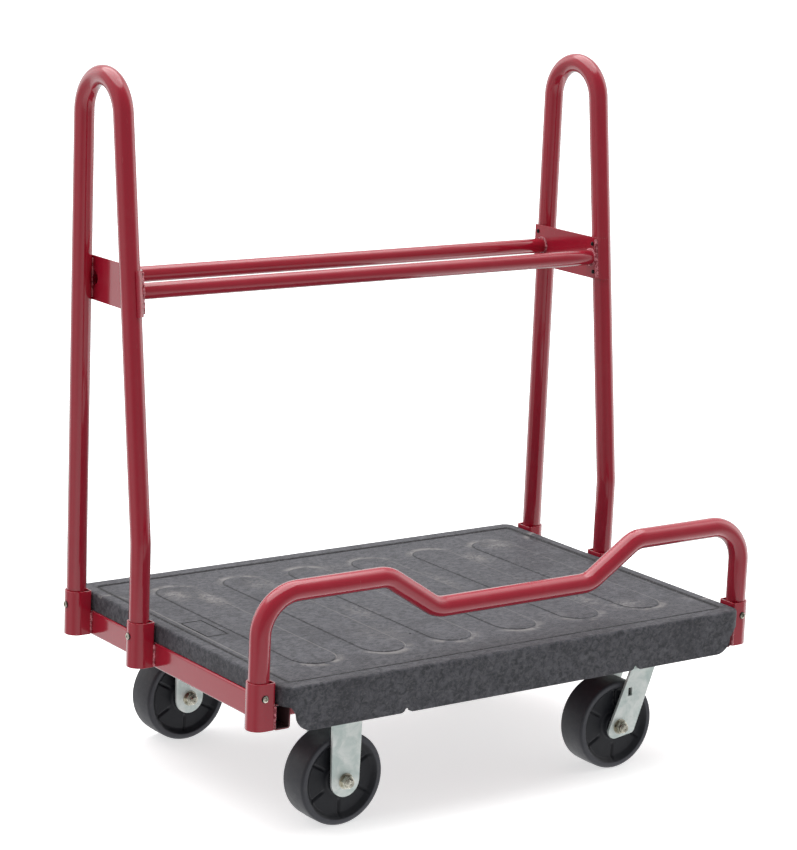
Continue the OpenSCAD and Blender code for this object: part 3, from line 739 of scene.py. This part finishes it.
def make_members():
    z = (member_high.z + member_low.z) / 2
    end_x = -(member_high.x + member_low.x) / 2
    end_w = member_high.x - member_low.x
    for side, where in SIDES:
        bm = bmesh.new()
        place = axes((side * end_x, 0, z), X, Z, -Y)
        solid(bm, hollow_outline(end_w), member_low.y, member_high.y, place=place)

        def inside(co):
            across = end_w / 2 - member_t - abs(co.x - side * end_x)
            up = (member_high.z - member_low.z) / 2 - member_t - abs(co.z - z)
            return 1.0 if min(across, up) > -0.5 else 0.0

        piece(f"end_bar_{where}", bm, RED, nodes=[f"end_member_{where}"], shade=inside)

    side_y = (side_high.y + side_low.y) / 2
    for side, where in ((-1, "front"), (1, "rear")):
        bm = bmesh.new()
        place = axes((0, side * side_y, z), Y, Z, X)
        outline = hollow_outline(side_high.y - side_low.y)
        solid(bm, outline, side_low.x, side_high.x, place=place)
        piece(f"side_bar_{where}", bm, RED, nodes=[f"side_member_{where}"])

    bm = bmesh.new()
    seed = 0
    for sx, sy in SIGNS:
        x = sx * side_high.x
        for edge, out in ((side_low.y, -sy), (side_high.y, sy)):
            seed += 1
            ends = [(x, sy * edge, z) for z in (member_low.z + 4, member_high.z - 4)]
            bead(bm, run(*ends), (-sx, out, 0), 2.6, seed)
        seed += 1
        ends = [(x, sy * y, member_low.z) for y in (side_low.y + 3, side_high.y - 3)]
        bead(bm, run(*ends), (-sx, 0, -1), 2.6, seed)
    piece("base_welds", bm, WELD)


def socket_outline(r, corner):
    """Round towards +X and flat towards -X, where it meets the end member."""
    out = arc(0, 0, r, -90, 90, 24)
    out += arc(corner - r, r - corner, corner, 90, 180, 5)
    return out + arc(corner - r, corner - r, corner, 180, 270, 5)


def make_sockets():
    places = [("front", rail_y), ("middle", front_y), ("rear", rear_y)]
    welds = bmesh.new()
    seed = 40
    for side, end in SIDES:
        for where, y in places:
            place = at(side * post_x, y, 0) @ Matrix.Diagonal((side, 1, 1, 1))
            bm = bmesh.new()
            outer = socket_outline(socket_r, socket_corner_r)
            inner = socket_outline(socket_r - socket_t, socket_corner_r - socket_t)
            solid(bm, [outer, hole(inner)], socket_low.z, socket_high.z, 0.7, place)
            name = f"socket_{where}_{end}"
            piece(f"{name}_sleeve", bm, RED, nodes=[name])
            for sy in (-1, 1):
                seed += 1
                x, yy = side * (post_x - socket_r + 1.6), y + sy * (socket_r - 0.6)
                line = run((x, yy, socket_low.z + 1), (x, yy, member_high.z - 2))
                bead(welds, line, (side, sy, 0), 2.7, seed, pitch=3.2)
    piece("socket_welds", welds, WELD)


# ---- Screws, nuts and bolts ----


def pan_head(bm, place, r, h, sides=56):
    """A domed screw head with a cross recess, its underside at the local origin."""

    def height(radius, t):
        x, y = abs(radius * math.cos(t)), abs(radius * math.sin(t))
        dome = h * (0.45 + 0.55 * math.sqrt(max(0.0, 1 - (radius / (1.03 * r)) ** 2)))
        cross = step(min(x, y), 0.20 * r, 0.11 * r) * step(max(x, y), 0.66 * r, 0.54 * r)
        return dome - 0.5 * h * cross

    rings = polar(np.linspace(0.02 * r, r, 16), height, sides, place)
    rings += polar((r, 0.02 * r), lambda *_: 0.0, sides, place)
    loft(bm, rings, close_loft=True)


def hex_body(bm, flats, z0, z1, bore, place):
    """A hexagon whose corners are rounded off by a cone at both ends."""
    a = flats / 2
    slope = math.tan(math.radians(30))

    def side(t):
        """Distance of the hexagon's side at angle t."""
        return a / math.cos((t + math.pi / 6) % (math.pi / 3) - math.pi / 6)

    def ring(limit, z):
        return [spin(min(side(t), limit), t, z) for t in full_turn(72)]

    grow = [0.94 * a, 1.0 * a, 1.05 * a, 1.10 * a, 1.16 * a]
    lift = [(r - grow[0]) * slope for r in grow]
    rings = [ring(bore, z0 + 0.4), ring(bore + 0.4, z0)]
    rings += [ring(r, z0 + d) for r, d in zip(grow, lift)]
    rings += [ring(r, z1 - d) for r, d in zip(grow[::-1], lift[::-1])]
    rings += [ring(bore + 0.4, z1), ring(bore, z1 - 0.4)]
    made = bmesh.new()
    loft(made, rings, close_loft=True)
    join(bm, made, place)


def rod_profile(r, z0, z1):
    soft = 0.8
    return [(0.02, z0), (r - soft, z0), (r, z0 + soft), (r, z1 - soft), (r - soft, z1), (0.02, z1)]


def ring_profile(r, bore, z0, z1, soft=0.3):
    outer = [(r - d, z) for d, z in edge_levels(z0, z1, soft, 2)]
    inner = [(bore + d, z) for d, z in edge_levels(z0, z1, soft, 2)]
    return outer + inner[::-1]


def make_screws():
    heads, rings = bmesh.new(), bmesh.new()
    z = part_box("socket_screws")[0].z / MM + 5.6
    spots = []
    for side in (-1, 1):
        for y in (front_y, rear_y):
            spots.append(axes((side * (post_x + socket_r), y, z), Y, side * Z, side * X))
        spots.append(axes((side * post_x, rail_y - socket_r, z), X, Z, -Y))
    for i, place in enumerate(spots):
        turned = place @ Matrix.Rotation(0.5 + 1.3 * i, 4, "Z")
        pan_head(heads, turned, 5.1, 3.2)
        lathe(heads, rod_profile(3.0, -9.3, 0.2), place, 24)
        lathe(rings, ring_profile(6.0, 3.1, -0.6, 0.5, 0.2), place, 40)
    piece("socket_screw_heads", heads, STEEL, nodes=["socket_screws"])
    # Dark rings around the screw heads: painted shade where each head sits in its hole
    piece("socket_screw_painted_shade_rings", rings, BLACK)

    heads = bmesh.new()
    low, high = box("bracket_screws")
    head_r = 3.6
    slope = math.tan(lean)
    face = bracket_low.x
    for side in (-1, 1):
        for k, z in enumerate((low.z + head_r, high.z - head_r)):
            for y in (rear_y, front_y + (z - lean_z) * slope):
                place = axes((side * face, y, z), Y, -side * Z, -side * X)
                pan_head(heads, place @ Matrix.Rotation(0.3 + k, 4, "Z"), head_r, 2.2, 40)
                lathe(heads, rod_profile(2.4, -7.6, 0.2), place, 20)
    piece("bracket_screw_heads", heads, BLACK, nodes=["bracket_screws"])


# ---- Brackets ----


def make_brackets():
    z0, z1 = bracket_low.z, bracket_high.z
    saddle_r = bracket_t / 2 + post_x - bracket_low.x - bracket_t
    c, s = math.cos(lean), math.sin(lean)

    def flat(y, z):
        """Distance in front of the front leg's middle plane, and height along that leg."""
        dy, dz = y - front_y, z - lean_z
        return (-dy * c + dz * s, dy * s + dz * c)

    def saddle_edge(z):
        turns = np.linspace(0, math.pi / 2, 8)
        return [(saddle_r * a, (z - lean_z - saddle_r * math.sin(a) * s) / c) for a in turns]

    end = bracket_high.y
    outline = saddle_edge(z0)[::-1]
    outline += [flat(y, z) for y, z in arc(end - 2, z0 + 2, 2, -90, 0, 3)]
    outline += [flat(y, z) for y, z in arc(end - 2, z1 - 2, 2, 0, 90, 3)]
    outline += saddle_edge(z1)
    holes = [hole(circle(*flat(y, bar_z), bar_r + 0.1, 40)) for y in bar_ys]
    welds = bmesh.new()
    seed = 80
    for side, where in SIDES:
        mirror = Matrix.Diagonal((side, 1, 1, 1))
        origin = (bracket_low.x + bracket_t / 2, front_y, lean_z)
        place = mirror @ axes(origin, Vector((0, -c, s)), Vector((0, s, c)), -X)
        made = bmesh.new()
        solid(made, [outline[::-1], *holes], -bracket_t / 2, bracket_t / 2, 0.4)
        fold(made, 0, saddle_r, math.pi / 2)
        bm = bmesh.new()
        join(bm, made, place)
        piece(f"bracket_sheet_{where}", bm, RED, nodes=[f"bracket_{where}"])

        face = side * bracket_low.x
        for y in bar_ys:
            seed += 1
            out = [Vector((0, math.cos(t), math.sin(t))) for t in full_turn(130)]
            points = [Vector((face, y, bar_z)) + (bar_r + 0.6) * d for d in out]
            bead(welds, points, [d - side * X for d in out], 2.8, seed, closed=True)
        # Beads along the front leg: a wide one on the saddle's inner face, one behind the web
        for v, depth, size, away in (
            (-0.45 * post_r, -post_r - 0.4 * bracket_t, 3.4, (-side, -0.4, 0)),
            (5.5, -post_r + 0.6, 2.6, (-side * 0.2, 1, 0)),
        ):
            seed += 1
            line = []
            for z in (z0 + 3, z1 - 3):
                y = front_y + (z - lean_z) * math.tan(lean) + v / c
                line.append((side * (post_x + depth), y, z))
            bead(welds, run(*line), away, size, seed)
        seed += 1
        x, y = side * (post_x - post_r + 1.2), rear_y - 6
        line = run((x, y, z0 + 4), (x, y, z1 - 4))
        bead(welds, line, (side, -1, 0), 2.2, seed)
    piece("bracket_welds", welds, WELD)


# ---- Casters ----


def caster_plate_holes():
    hx, hy = plate_holes
    return [hole(circle(sx * hx, sy * hy, plate_hole_r, 28)) for sx, sy in SIGNS]


def fork_sheet(half_outline, holes, top_z, place):
    """Folds a flat sheet into a crown and two legs. The outline's first coordinate runs
    across the crown and down the leg, the second lies along X."""
    mirrored = [(-s, t) for s, t in half_outline[::-1] if s > 0]
    made = bmesh.new()
    loop = (half_outline + mirrored)[::-1]
    solid(made, [loop, *holes], -leg_t / 2, leg_t / 2, 0.5)
    mid_r = crown_bend_r - leg_t / 2
    for sign in (-1, 1):
        fold(made, leg_out - crown_bend_r, mid_r, math.pi / 2, sign)
    bm = bmesh.new()
    join(bm, made, place @ axes((0, 0, top_z - leg_t / 2), Y, X, Z))
    return bm


def flat_leg(top_z):
    """Turns (x, z) on a leg into the flat sheet's coordinates, for a crown top at top_z."""
    start = leg_out - crown_bend_r + (crown_bend_r - leg_t / 2) * math.pi / 2
    return lambda x, z: (start + top_z - crown_bend_r - z, x)


def both_legs(loop):
    return [hole(loop), [(-s, t) for s, t in loop]]


def make_fasteners(where, kind, x, y, body):
    """The axle bolt with its head at +Y and its nut at -Y."""
    near = axes((x, y - leg_out, axle_z), X, Z, -Y)
    far = axes((x, y + leg_out, axle_z), X, -Z, Y)
    stud = y - leg_out - box(f"{kind}_axle_{where}")[0].y
    bm = bmesh.new()
    profile = [(0.02, -2 * leg_out), (axle_r, -2 * leg_out)]
    for i in range(8):
        z = 1.6 + 8 + i * 0.8
        if z < stud - 1.2:
            profile += [(axle_r, z), (axle_r - 0.35, z + 0.4)]
    profile += [(axle_r, stud - 1.2), (axle_r - 1.0, stud), (2.4, stud)]
    profile += [(1.7, stud - 1.0), (0.02, stud - 1.4)]
    lathe(bm, profile, near, 40)
    hex_body(bm, 19, 0, 8, 0.02, far)
    piece(f"{kind}_axle_bolt_{where}", bm, STEEL, body, [f"{kind}_axle_{where}"])

    bm = bmesh.new()
    lathe(bm, ring_profile(13, 6.6, 0, 1.6, 0.4), near, 48)
    hex_body(bm, 19, 1.6, 9.4, axle_r + 0.05, near @ Matrix.Rotation(0.35, 4, "Z"))
    collar = [(6.5, 9.2), (8.9, 9.2), (8.9, 11.0), (8.5, 12.0), (7.7, 12.5), (6.5, 12.6)]
    lathe(bm, collar, near, 48)
    piece(f"{kind}_lock_nut_{where}", bm, STEEL, body, [f"{kind}_nut_{where}"])


def make_plate_bolts(where, kind, x, y):
    bm = bmesh.new()
    hx, hy = plate_holes
    low = caster_h - plate_t
    shank = box(f"{kind}_plate_bolts_{where}")[1].z
    for sx, sy in SIGNS:
        place = at(x + sx * hx, y + sy * hy, 0) @ Matrix.Rotation(sx + 2.1 * sy, 4, "Z")
        lathe(bm, ring_profile(7.9, 4.1, low - 1.2, low, 0.3), place, 36)
        hex_body(bm, 12.7, low - 6.2, low - 1.2, 0.02, place)
        lathe(bm, rod_profile(4, low - 2, shank), place, 24)
    piece(f"{kind}_bolts_{where}", bm, ZINC, nodes=[f"{kind}_plate_bolts_{where}"])


def make_rigid_caster(where, y):
    x, top = rigid_x, caster_h - plate_t
    flat = flat_leg(top)
    half_top, end_r = 28, 26
    outline = [(0, half_top), (leg_out, half_top), flat(end_r, axle_z)]
    outline += [flat(px, pz) for px, pz in arc(0, axle_z, end_r, -8, -172, 22)]
    outline += [flat(-end_r, axle_z), (leg_out, -half_top), (0, -half_top)]
    holes = both_legs(circle(*flat(0, axle_z), axle_r + 0.2, 32))
    bm = fork_sheet(outline, holes, top, at(x, y, 0))
    plate = rounded_rect(plate_high.x - plate_low.x, plate_high.y - plate_low.y, plate_corner_r)
    solid(bm, [plate, *caster_plate_holes()], top, caster_h, 0.6, at(x, y, 0))
    for i, sx in enumerate((-1, 1)):
        ends = [(x + sx * half_top, y + sy * 24, top) for sy in (-1, 1)]
        bead(bm, run(*ends), (sx, 0, -1), 2.6, 120 + i)
    piece(f"rigid_yoke_{where}", bm, ZINC, nodes=[f"rigid_fork_{where}"])
    make_fasteners(where, "rigid", x, y, "root")
    make_plate_bolts(where, "rigid", x, y)


def make_swivel_caster(where, y):
    x, trail = swivel_x, swivel_x - swivel_axle_x
    body = f"swivel_{where}_unit"
    crown_low = crown_top - leg_t
    flat = flat_leg(crown_top)
    disc_r, front, back = 34, 13, 39
    strip = leg_out - crown_bend_r
    heel, heel_r = (-trail + 24, axle_z - 6.7), 9
    toe, toe_r = (-trail - 8.5, axle_z - 6.2), 14
    outline = [
        (disc_r * math.sin(a), disc_r * math.cos(a))
        for a in np.linspace(0, math.asin((strip - 1) / disc_r), 12)
    ]
    outline += [(strip, front + 2), (strip + 2, front), (leg_out, front)]
    outline += [flat(*p) for p in arc(*heel, heel_r, -20, -82, 8)]
    outline += [flat(*p) for p in arc(*toe, toe_r, -82, -205, 16)]
    outline += [(leg_out, -back), (0, -back)]
    holes = [hole(circle(0, 0, kingpin_r + 0.2, 36))]
    holes += both_legs(circle(*flat(-trail, axle_z), axle_r + 0.2, 32))
    slot_s, slot_t = flat(-39, 134)
    holes += both_legs(rounded_rect(14, 8, 1.2, slot_s, slot_t, 3))
    bm = fork_sheet(outline, holes, crown_top, at(x, y, 0))
    piece(f"swivel_yoke_{where}", bm, ZINC, body, [f"swivel_fork_{where}"])

    top = caster_h - plate_t
    race = box(f"swivel_plate_{where}")[0].z
    bm = bmesh.new()
    size = swivel_plate_high - swivel_plate_low
    plate = rounded_rect(size.x, size.y, plate_corner_r)
    holes = [*caster_plate_holes(), hole(circle(0, 0, kingpin_r + 0.1, 36))]
    solid(bm, [plate, *holes], top, caster_h, 0.6, at(x, y, 0))
    lathe(bm, ring_profile(33, kingpin_r + 0.1, race, top + 0.01, 0.4), at(x, y, 0), 64)
    piece(f"swivel_top_plate_{where}", bm, ZINC, nodes=[f"swivel_plate_{where}"])

    pin_low, pin_high = box(f"swivel_kingpin_{where}")
    bm = bmesh.new()
    lathe(bm, rod_profile(kingpin_r, pin_low.z, pin_high.z), at(x, y, 0), 36)
    hex_body(bm, 19, crown_low - 7.3, crown_low - 0.3, kingpin_r, at(x, y, 0))
    piece(f"swivel_pin_{where}", bm, STEEL, nodes=[f"swivel_kingpin_{where}"])
    make_fasteners(where, "swivel", swivel_axle_x, y, body)
    make_plate_bolts(where, "swivel", x, y)


def make_wheel(name, x, y, body):
    """One mesh from hub face to hub face: dish, six low sectors, rim, shoulder and tread."""
    hub_half, bore = (wheel_high.y - wheel_low.y) / 2, 12.1
    face = hub_half - 1.5
    shoulder = 5
    rim_out = wheel_r - shoulder
    dish, sector = 18.2, 20.6
    pitch = 2 * math.pi / 6

    def height(r, t):
        from_gap = pitch / 2 * r - abs((t + pitch / 2) % pitch - pitch / 2) * r
        raised = max(step(from_gap, 0.7, 3.2), step(r, 40, 32))
        web = dish + (sector - dish) * raised
        hub = step(r, 25.5, 21.0)
        rim = step(r, 57.0, 67.0)
        level = web + (hub_half - web) * hub
        return level + (face - level) * rim

    radii = [bore, bore + 0.8, 18, 20.5]
    radii += list(np.arange(21, 25.1, 0.7)) + list(np.arange(26.5, 54.5, 2.5))
    radii += list(np.arange(55.2, 68.5, 0.7)) + [69.6, rim_out]
    sides = 240
    near = at(x, y, axle_z) @ Matrix.Rotation(math.pi / 2, 4, "X")
    far = near @ Matrix.Diagonal((1, 1, -1, 1))
    bm = bmesh.new()
    rings = polar(radii, height, sides, near)
    rolling = []
    for a in np.linspace(0, math.pi / 2, 7)[1:]:
        r = rim_out + shoulder * math.sin(a) - 0.5 * step(a, 0, 1.5)
        rolling.append((r, face - shoulder + shoulder * math.cos(a)))
    rolling += [(wheel_r - 0.2, 12), (wheel_r, 5)]
    for place, profile in ((near, rolling), (far, rolling[::-1])):
        for r, h in profile:
            rings += polar([r], lambda *_: h, sides, place)
    rings += polar(radii[::-1], height, sides, far)
    loft(bm, rings, close_loft=True)

    # Painted light and shade: the rim face ring palest, the tread less, the sectors a little, the
    # dish darkest
    def raised(co):
        r = math.hypot(co.x - x, co.z - axle_z)
        ring = step(r, 64.5, 67.5) * (1 - 0.46 * step(r, 71.5, 74))
        return max(ring, 0.1 * step(abs(co.y - y), dish + 1, sector))

    piece(f"{name}_moulding", bm, WHEEL, body, [name], sharp=60, weighted=False, shade=raised)


# ---- Deck ----


def deck_ring(half_l, half_w, r, xs, ys):
    """A rounded rectangle with chosen stations along its straight sides, in shares of them."""
    sx, sy = half_l - r, half_w - r
    out = []
    for s, start in ((1, -90), (-1, 90)):
        out += [(s * x * sx, -s * half_w) for x in xs]
        out += arc(s * sx, -s * sy, r, start, start + 90, 8)[1:-1]
        out += [(s * half_l, s * y * sy) for y in ys]
        out += arc(s * sx, s * sy, r, start + 90, start + 180, 8)[1:-1]
    return out


def make_deck():
    half_l, half_w = deck_half
    corner_r, skirt_t, slab_t = 20, 6, 6
    end_z = member_high.z
    rim_end, rim_side, panel_r = 21.5, 26.5, 14
    panel = deck_top - 1.2
    straight = half_l - corner_r
    bend_x, bend_z, bend_r = half_l - 21.5, skirt_z + 28, 28
    notch_x, notch_r, notch_h = 231, 5, 7

    def lower_edge(x):
        """Height of the skirt's lower edge at a distance along the deck."""
        x = abs(x)
        if x > bend_x:
            return min(end_z, bend_z + (x - bend_x) * (end_z - bend_z) / 11)
        if x > bend_x - bend_r:
            return bend_z - math.sqrt(max(0, bend_r**2 - (x - bend_x + bend_r) ** 2))
        off = abs(x - notch_x)
        if off < notch_r:
            return skirt_z + notch_h - notch_r + math.sqrt(notch_r**2 - off**2)
        return skirt_z + 2.5 * step(off, notch_r + 5, notch_r)

    # Stations along the sides, closer together at the notches and the cut corners
    marks = {0.0, straight, *np.arange(60, 400, 40.0), *np.linspace(bend_x - bend_r, bend_x, 14)}
    for d in (0, 1.5, 3, 4, 4.7, 4.98, 5.02, 6.5, 8, 10, 12):
        marks |= {notch_x - d, notch_x + d}
    marks = sorted(m for m in marks if m <= straight)
    xs = [-m / straight for m in marks[::-1]] + [m / straight for m in marks if m > 0]
    ys = list(np.linspace(-1, 1, 13))

    def edge(depth, end=0, side=0, r=corner_r):
        return deck_ring(half_l - end - depth, half_w - side - depth, r - depth, xs, ys)

    def ring(depth, z):
        return [(x, y, z) for x, y in edge(depth)]

    def low_ring(depth, lift):
        return [(x, y, lower_edge(q[0]) + lift) for (x, y), q in zip(edge(depth), edge(0))]

    def panel_ring(depth, z):
        return [(x, y, z) for x, y in edge(depth, rim_end, rim_side, panel_r)]

    bm = bmesh.new()
    rings = [ring(skirt_t, deck_top - slab_t)]
    rings += [low_ring(skirt_t - depth, lift) for depth, lift in ((0, 1.2), (0.4, 0.35), (1.4, 0))]
    rings += [low_ring(depth, lift) for depth, lift in ((1.4, 0), (0.4, 0.35), (0, 1.4))]
    round_r = 5
    for a in np.linspace(0, math.pi / 2, 7):
        rings.append(ring(round_r * (1 - math.cos(a)), deck_top - round_r * (1 - math.sin(a))))
    floor_z = deck_top - 2.6
    for depth, z in (
        (-3.4, deck_top),
        (-2.4, deck_top - 0.15),
        (-1.2, deck_top - 0.9),
        (-0.2, deck_top - 2.0),
        (0.8, floor_z),
        (1.8, floor_z),
        (2.6, floor_z + 0.4),
        (3.6, panel - 0.3),
        (4.8, panel - 0.04),
        (6.2, panel),
    ):
        rings.append(panel_ring(depth, z))
    rows = loft(bm, rings)
    fill(bm, [rows[0]])

    # Islands in the panel: raised pads, two gate pits and a blank name-plate groove
    flat_rows = [rows[-1]]

    def island(loop, levels):
        made = loft(bm, [[(p[0], p[1], z) for p in inset(loop, d)] for d, z in levels])
        flat_rows.append(made[0])
        bm.faces.new(made[-1])

    for i in range(PAD_COUNT):
        cx = (i - (PAD_COUNT - 1) / 2) * PAD_PITCH
        loop = rounded_rect(PAD_W, PAD_L, PAD_W / 2 - 0.01, cx, 0, 20)
        levels = [(-0.9, panel), (-0.3, panel - 0.25), (0.2, panel - 0.1), (0.7, panel + 0.5)]
        levels += [(1.2, deck_top - 0.3), (1.9, deck_top - 0.06), (3, deck_top)]
        island(loop, levels)
    pit = [(0, panel), (0.3, panel - 0.2), (0.5, panel - 1.5)]
    for cx, cy in ((-120, -170), (262, -125)):
        island(circle(cx, cy, 2.5, 16), pit)
    label_x, label_y, label_w, label_l = LABEL
    groove = [(0, panel), (0.4, panel - 0.9), (2.0, panel - 0.9), (2.4, panel)]
    island(rounded_rect(label_w, label_l, 4, label_x, label_y, 5), groove)
    fill(bm, flat_rows)

    # Ribs and bosses below
    ceiling = deck_top - slab_t + 0.5
    rib_t = 4
    for i in range(-4, 5):
        outline = rounded_rect(rib_t, 2 * (half_w - skirt_t) + 1, 0.5, i * 100, 0, 1)
        solid(bm, [outline], end_z, ceiling, 0.5)
    for i in range(-3, 4):
        outline = rounded_rect(2 * (half_l - skirt_t) + 1, rib_t, 0.5, 0, i * 90, 1)
        solid(bm, [outline], end_z, ceiling, 0.5)
    hx, hy = plate_holes
    bolt_boss = ring_profile(12, 4.1, caster_h, ceiling, 0.6)
    screw_boss = ring_profile(9, 2.7, end_z, ceiling, 0.5)
    for cx, cy in product((rigid_x, swivel_x), (-caster_y, caster_y)):
        for sx, sy in SIGNS:
            lathe(bm, bolt_boss, at(cx + sx * hx, cy + sy * hy, 0), 32)
    for cx, cy in product((-400, -130, 130, 400), (-caster_y, caster_y)):
        lathe(bm, screw_boss, at(cx, cy, 0), 28)
    piece("deck_moulding", bm, DECK, nodes=["deck"], sharp=50)


# ---- Floor and light ----


FLOOR_REACH = 60
FLOOR_GLOW = 0.6
WALLS = 0.64
LAMPS = [  # an upright strip or not, direction, edge and full cosine, added brightness
    (False, (-0.1, -1, 0.2), 0.15, 0.8, 0.27 - WALLS),
    (False, (0.4, 1, 0), -0.2, 0.8, 0.2),
    (False, (0, -0.7, -1), 0.5, 0.85, 0.55),
    (False, (-0.6, 0.72, -0.35), 0.8, 0.95, -0.22),
    (True, (0.98, -0.2, 0), 0.85, 0.98, 0.4),
    (True, (0.986, -0.165, 0), 0.965, 0.99, 0.6),
    (True, (-0.35, 0.936, 0), 0.965, 0.99, 0.6),
    (False, (0, 0.25, 1), 0.77, 0.84, 2.2),
]


def make_stage():
    """White paper, clear from below, and a studio whose lamps are soft patches of the world."""
    mesh = bpy.data.meshes.new("floor")
    corners = [(-1, -1), (1, -1), (1, 1), (-1, 1)]
    corners = [(x * FLOOR_REACH, y * FLOOR_REACH, 0) for x, y in corners]
    mesh.from_pydata(corners, [], [(0, 1, 2, 3)])
    floor = bpy.data.objects.new("floor", mesh)
    SCENE.collection.objects.link(floor)
    m = Material("floor_paper")
    m.set("Base Color", (0.82, 0.82, 0.82, 1))
    m.set("Roughness", 0.9)
    m.set("Specular IOR Level", 0.1)
    m.set("Emission Color", (1, 1, 1, 1))
    m.set("Emission Strength", FLOOR_GLOW)
    behind = m.add("NewGeometry").outputs["Backfacing"]
    clear = m.add("BsdfTransparent").outputs[0]
    made = m.add("MixShader", {0: behind, 1: m.shader.outputs[0], 2: clear})
    m.feed(m.tree.nodes["Material Output"].inputs[0], made.outputs[0])
    mesh.materials.append(m.data)
    floor.visible_diffuse = floor.visible_glossy = False

    world = bpy.data.worlds.new("studio")
    SCENE.world = world
    world.use_nodes = True
    g = Graph(world.node_tree)
    heading = g.add("TexCoord").outputs["Generated"]
    flat = g.add("VectorMath", {0: heading, 1: Vector((1, 1, 0))}, operation="MULTIPLY").outputs[0]
    flat = g.add("VectorMath", {0: flat}, operation="NORMALIZE").outputs[0]
    level = WALLS
    for upright, direction, low, high, amount in LAMPS:
        sockets = {0: flat if upright else heading, 1: Vector(direction).normalized()}
        cosine = g.add("VectorMath", sockets, operation="DOT_PRODUCT").outputs["Value"]
        level = g.plus(level, g.times(g.ramp(cosine, low, high), amount))
    # The lamps themselves are out of sight: straight on, the background is plain white
    level = g.plus(level, g.add("LightPath").outputs["Is Camera Ray"])
    background = g.tree.nodes["Background"]
    g.feed(background.inputs["Color"], (1, 1, 1, 1))
    g.feed(background.inputs["Strength"], level)
    SCENE.view_settings.view_transform = "Standard"
    SCENE.view_settings.look = "None"


make_tubes()
make_members()
make_sockets()
make_screws()
make_brackets()
for where, y in (("front", -caster_y), ("rear", caster_y)):
    make_rigid_caster(where, y)
    make_swivel_caster(where, y)
    make_wheel(f"rigid_wheel_{where}", rigid_x, y, f"rigid_wheel_{where}_unit")
    make_wheel(f"swivel_wheel_{where}", swivel_axle_x, y, f"swivel_wheel_{where}_unit")
make_deck()

# CAD nodes that stay, with a detailed material
kept = {"bearing": STEEL, "bush": STEEL, "balls": STEEL, "deck_screws": ZINC}
for word, material in kept.items():
    for node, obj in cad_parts.items():
        if word in node:
            obj.data.materials.clear()
            obj.data.materials.append(material)

make_stage()
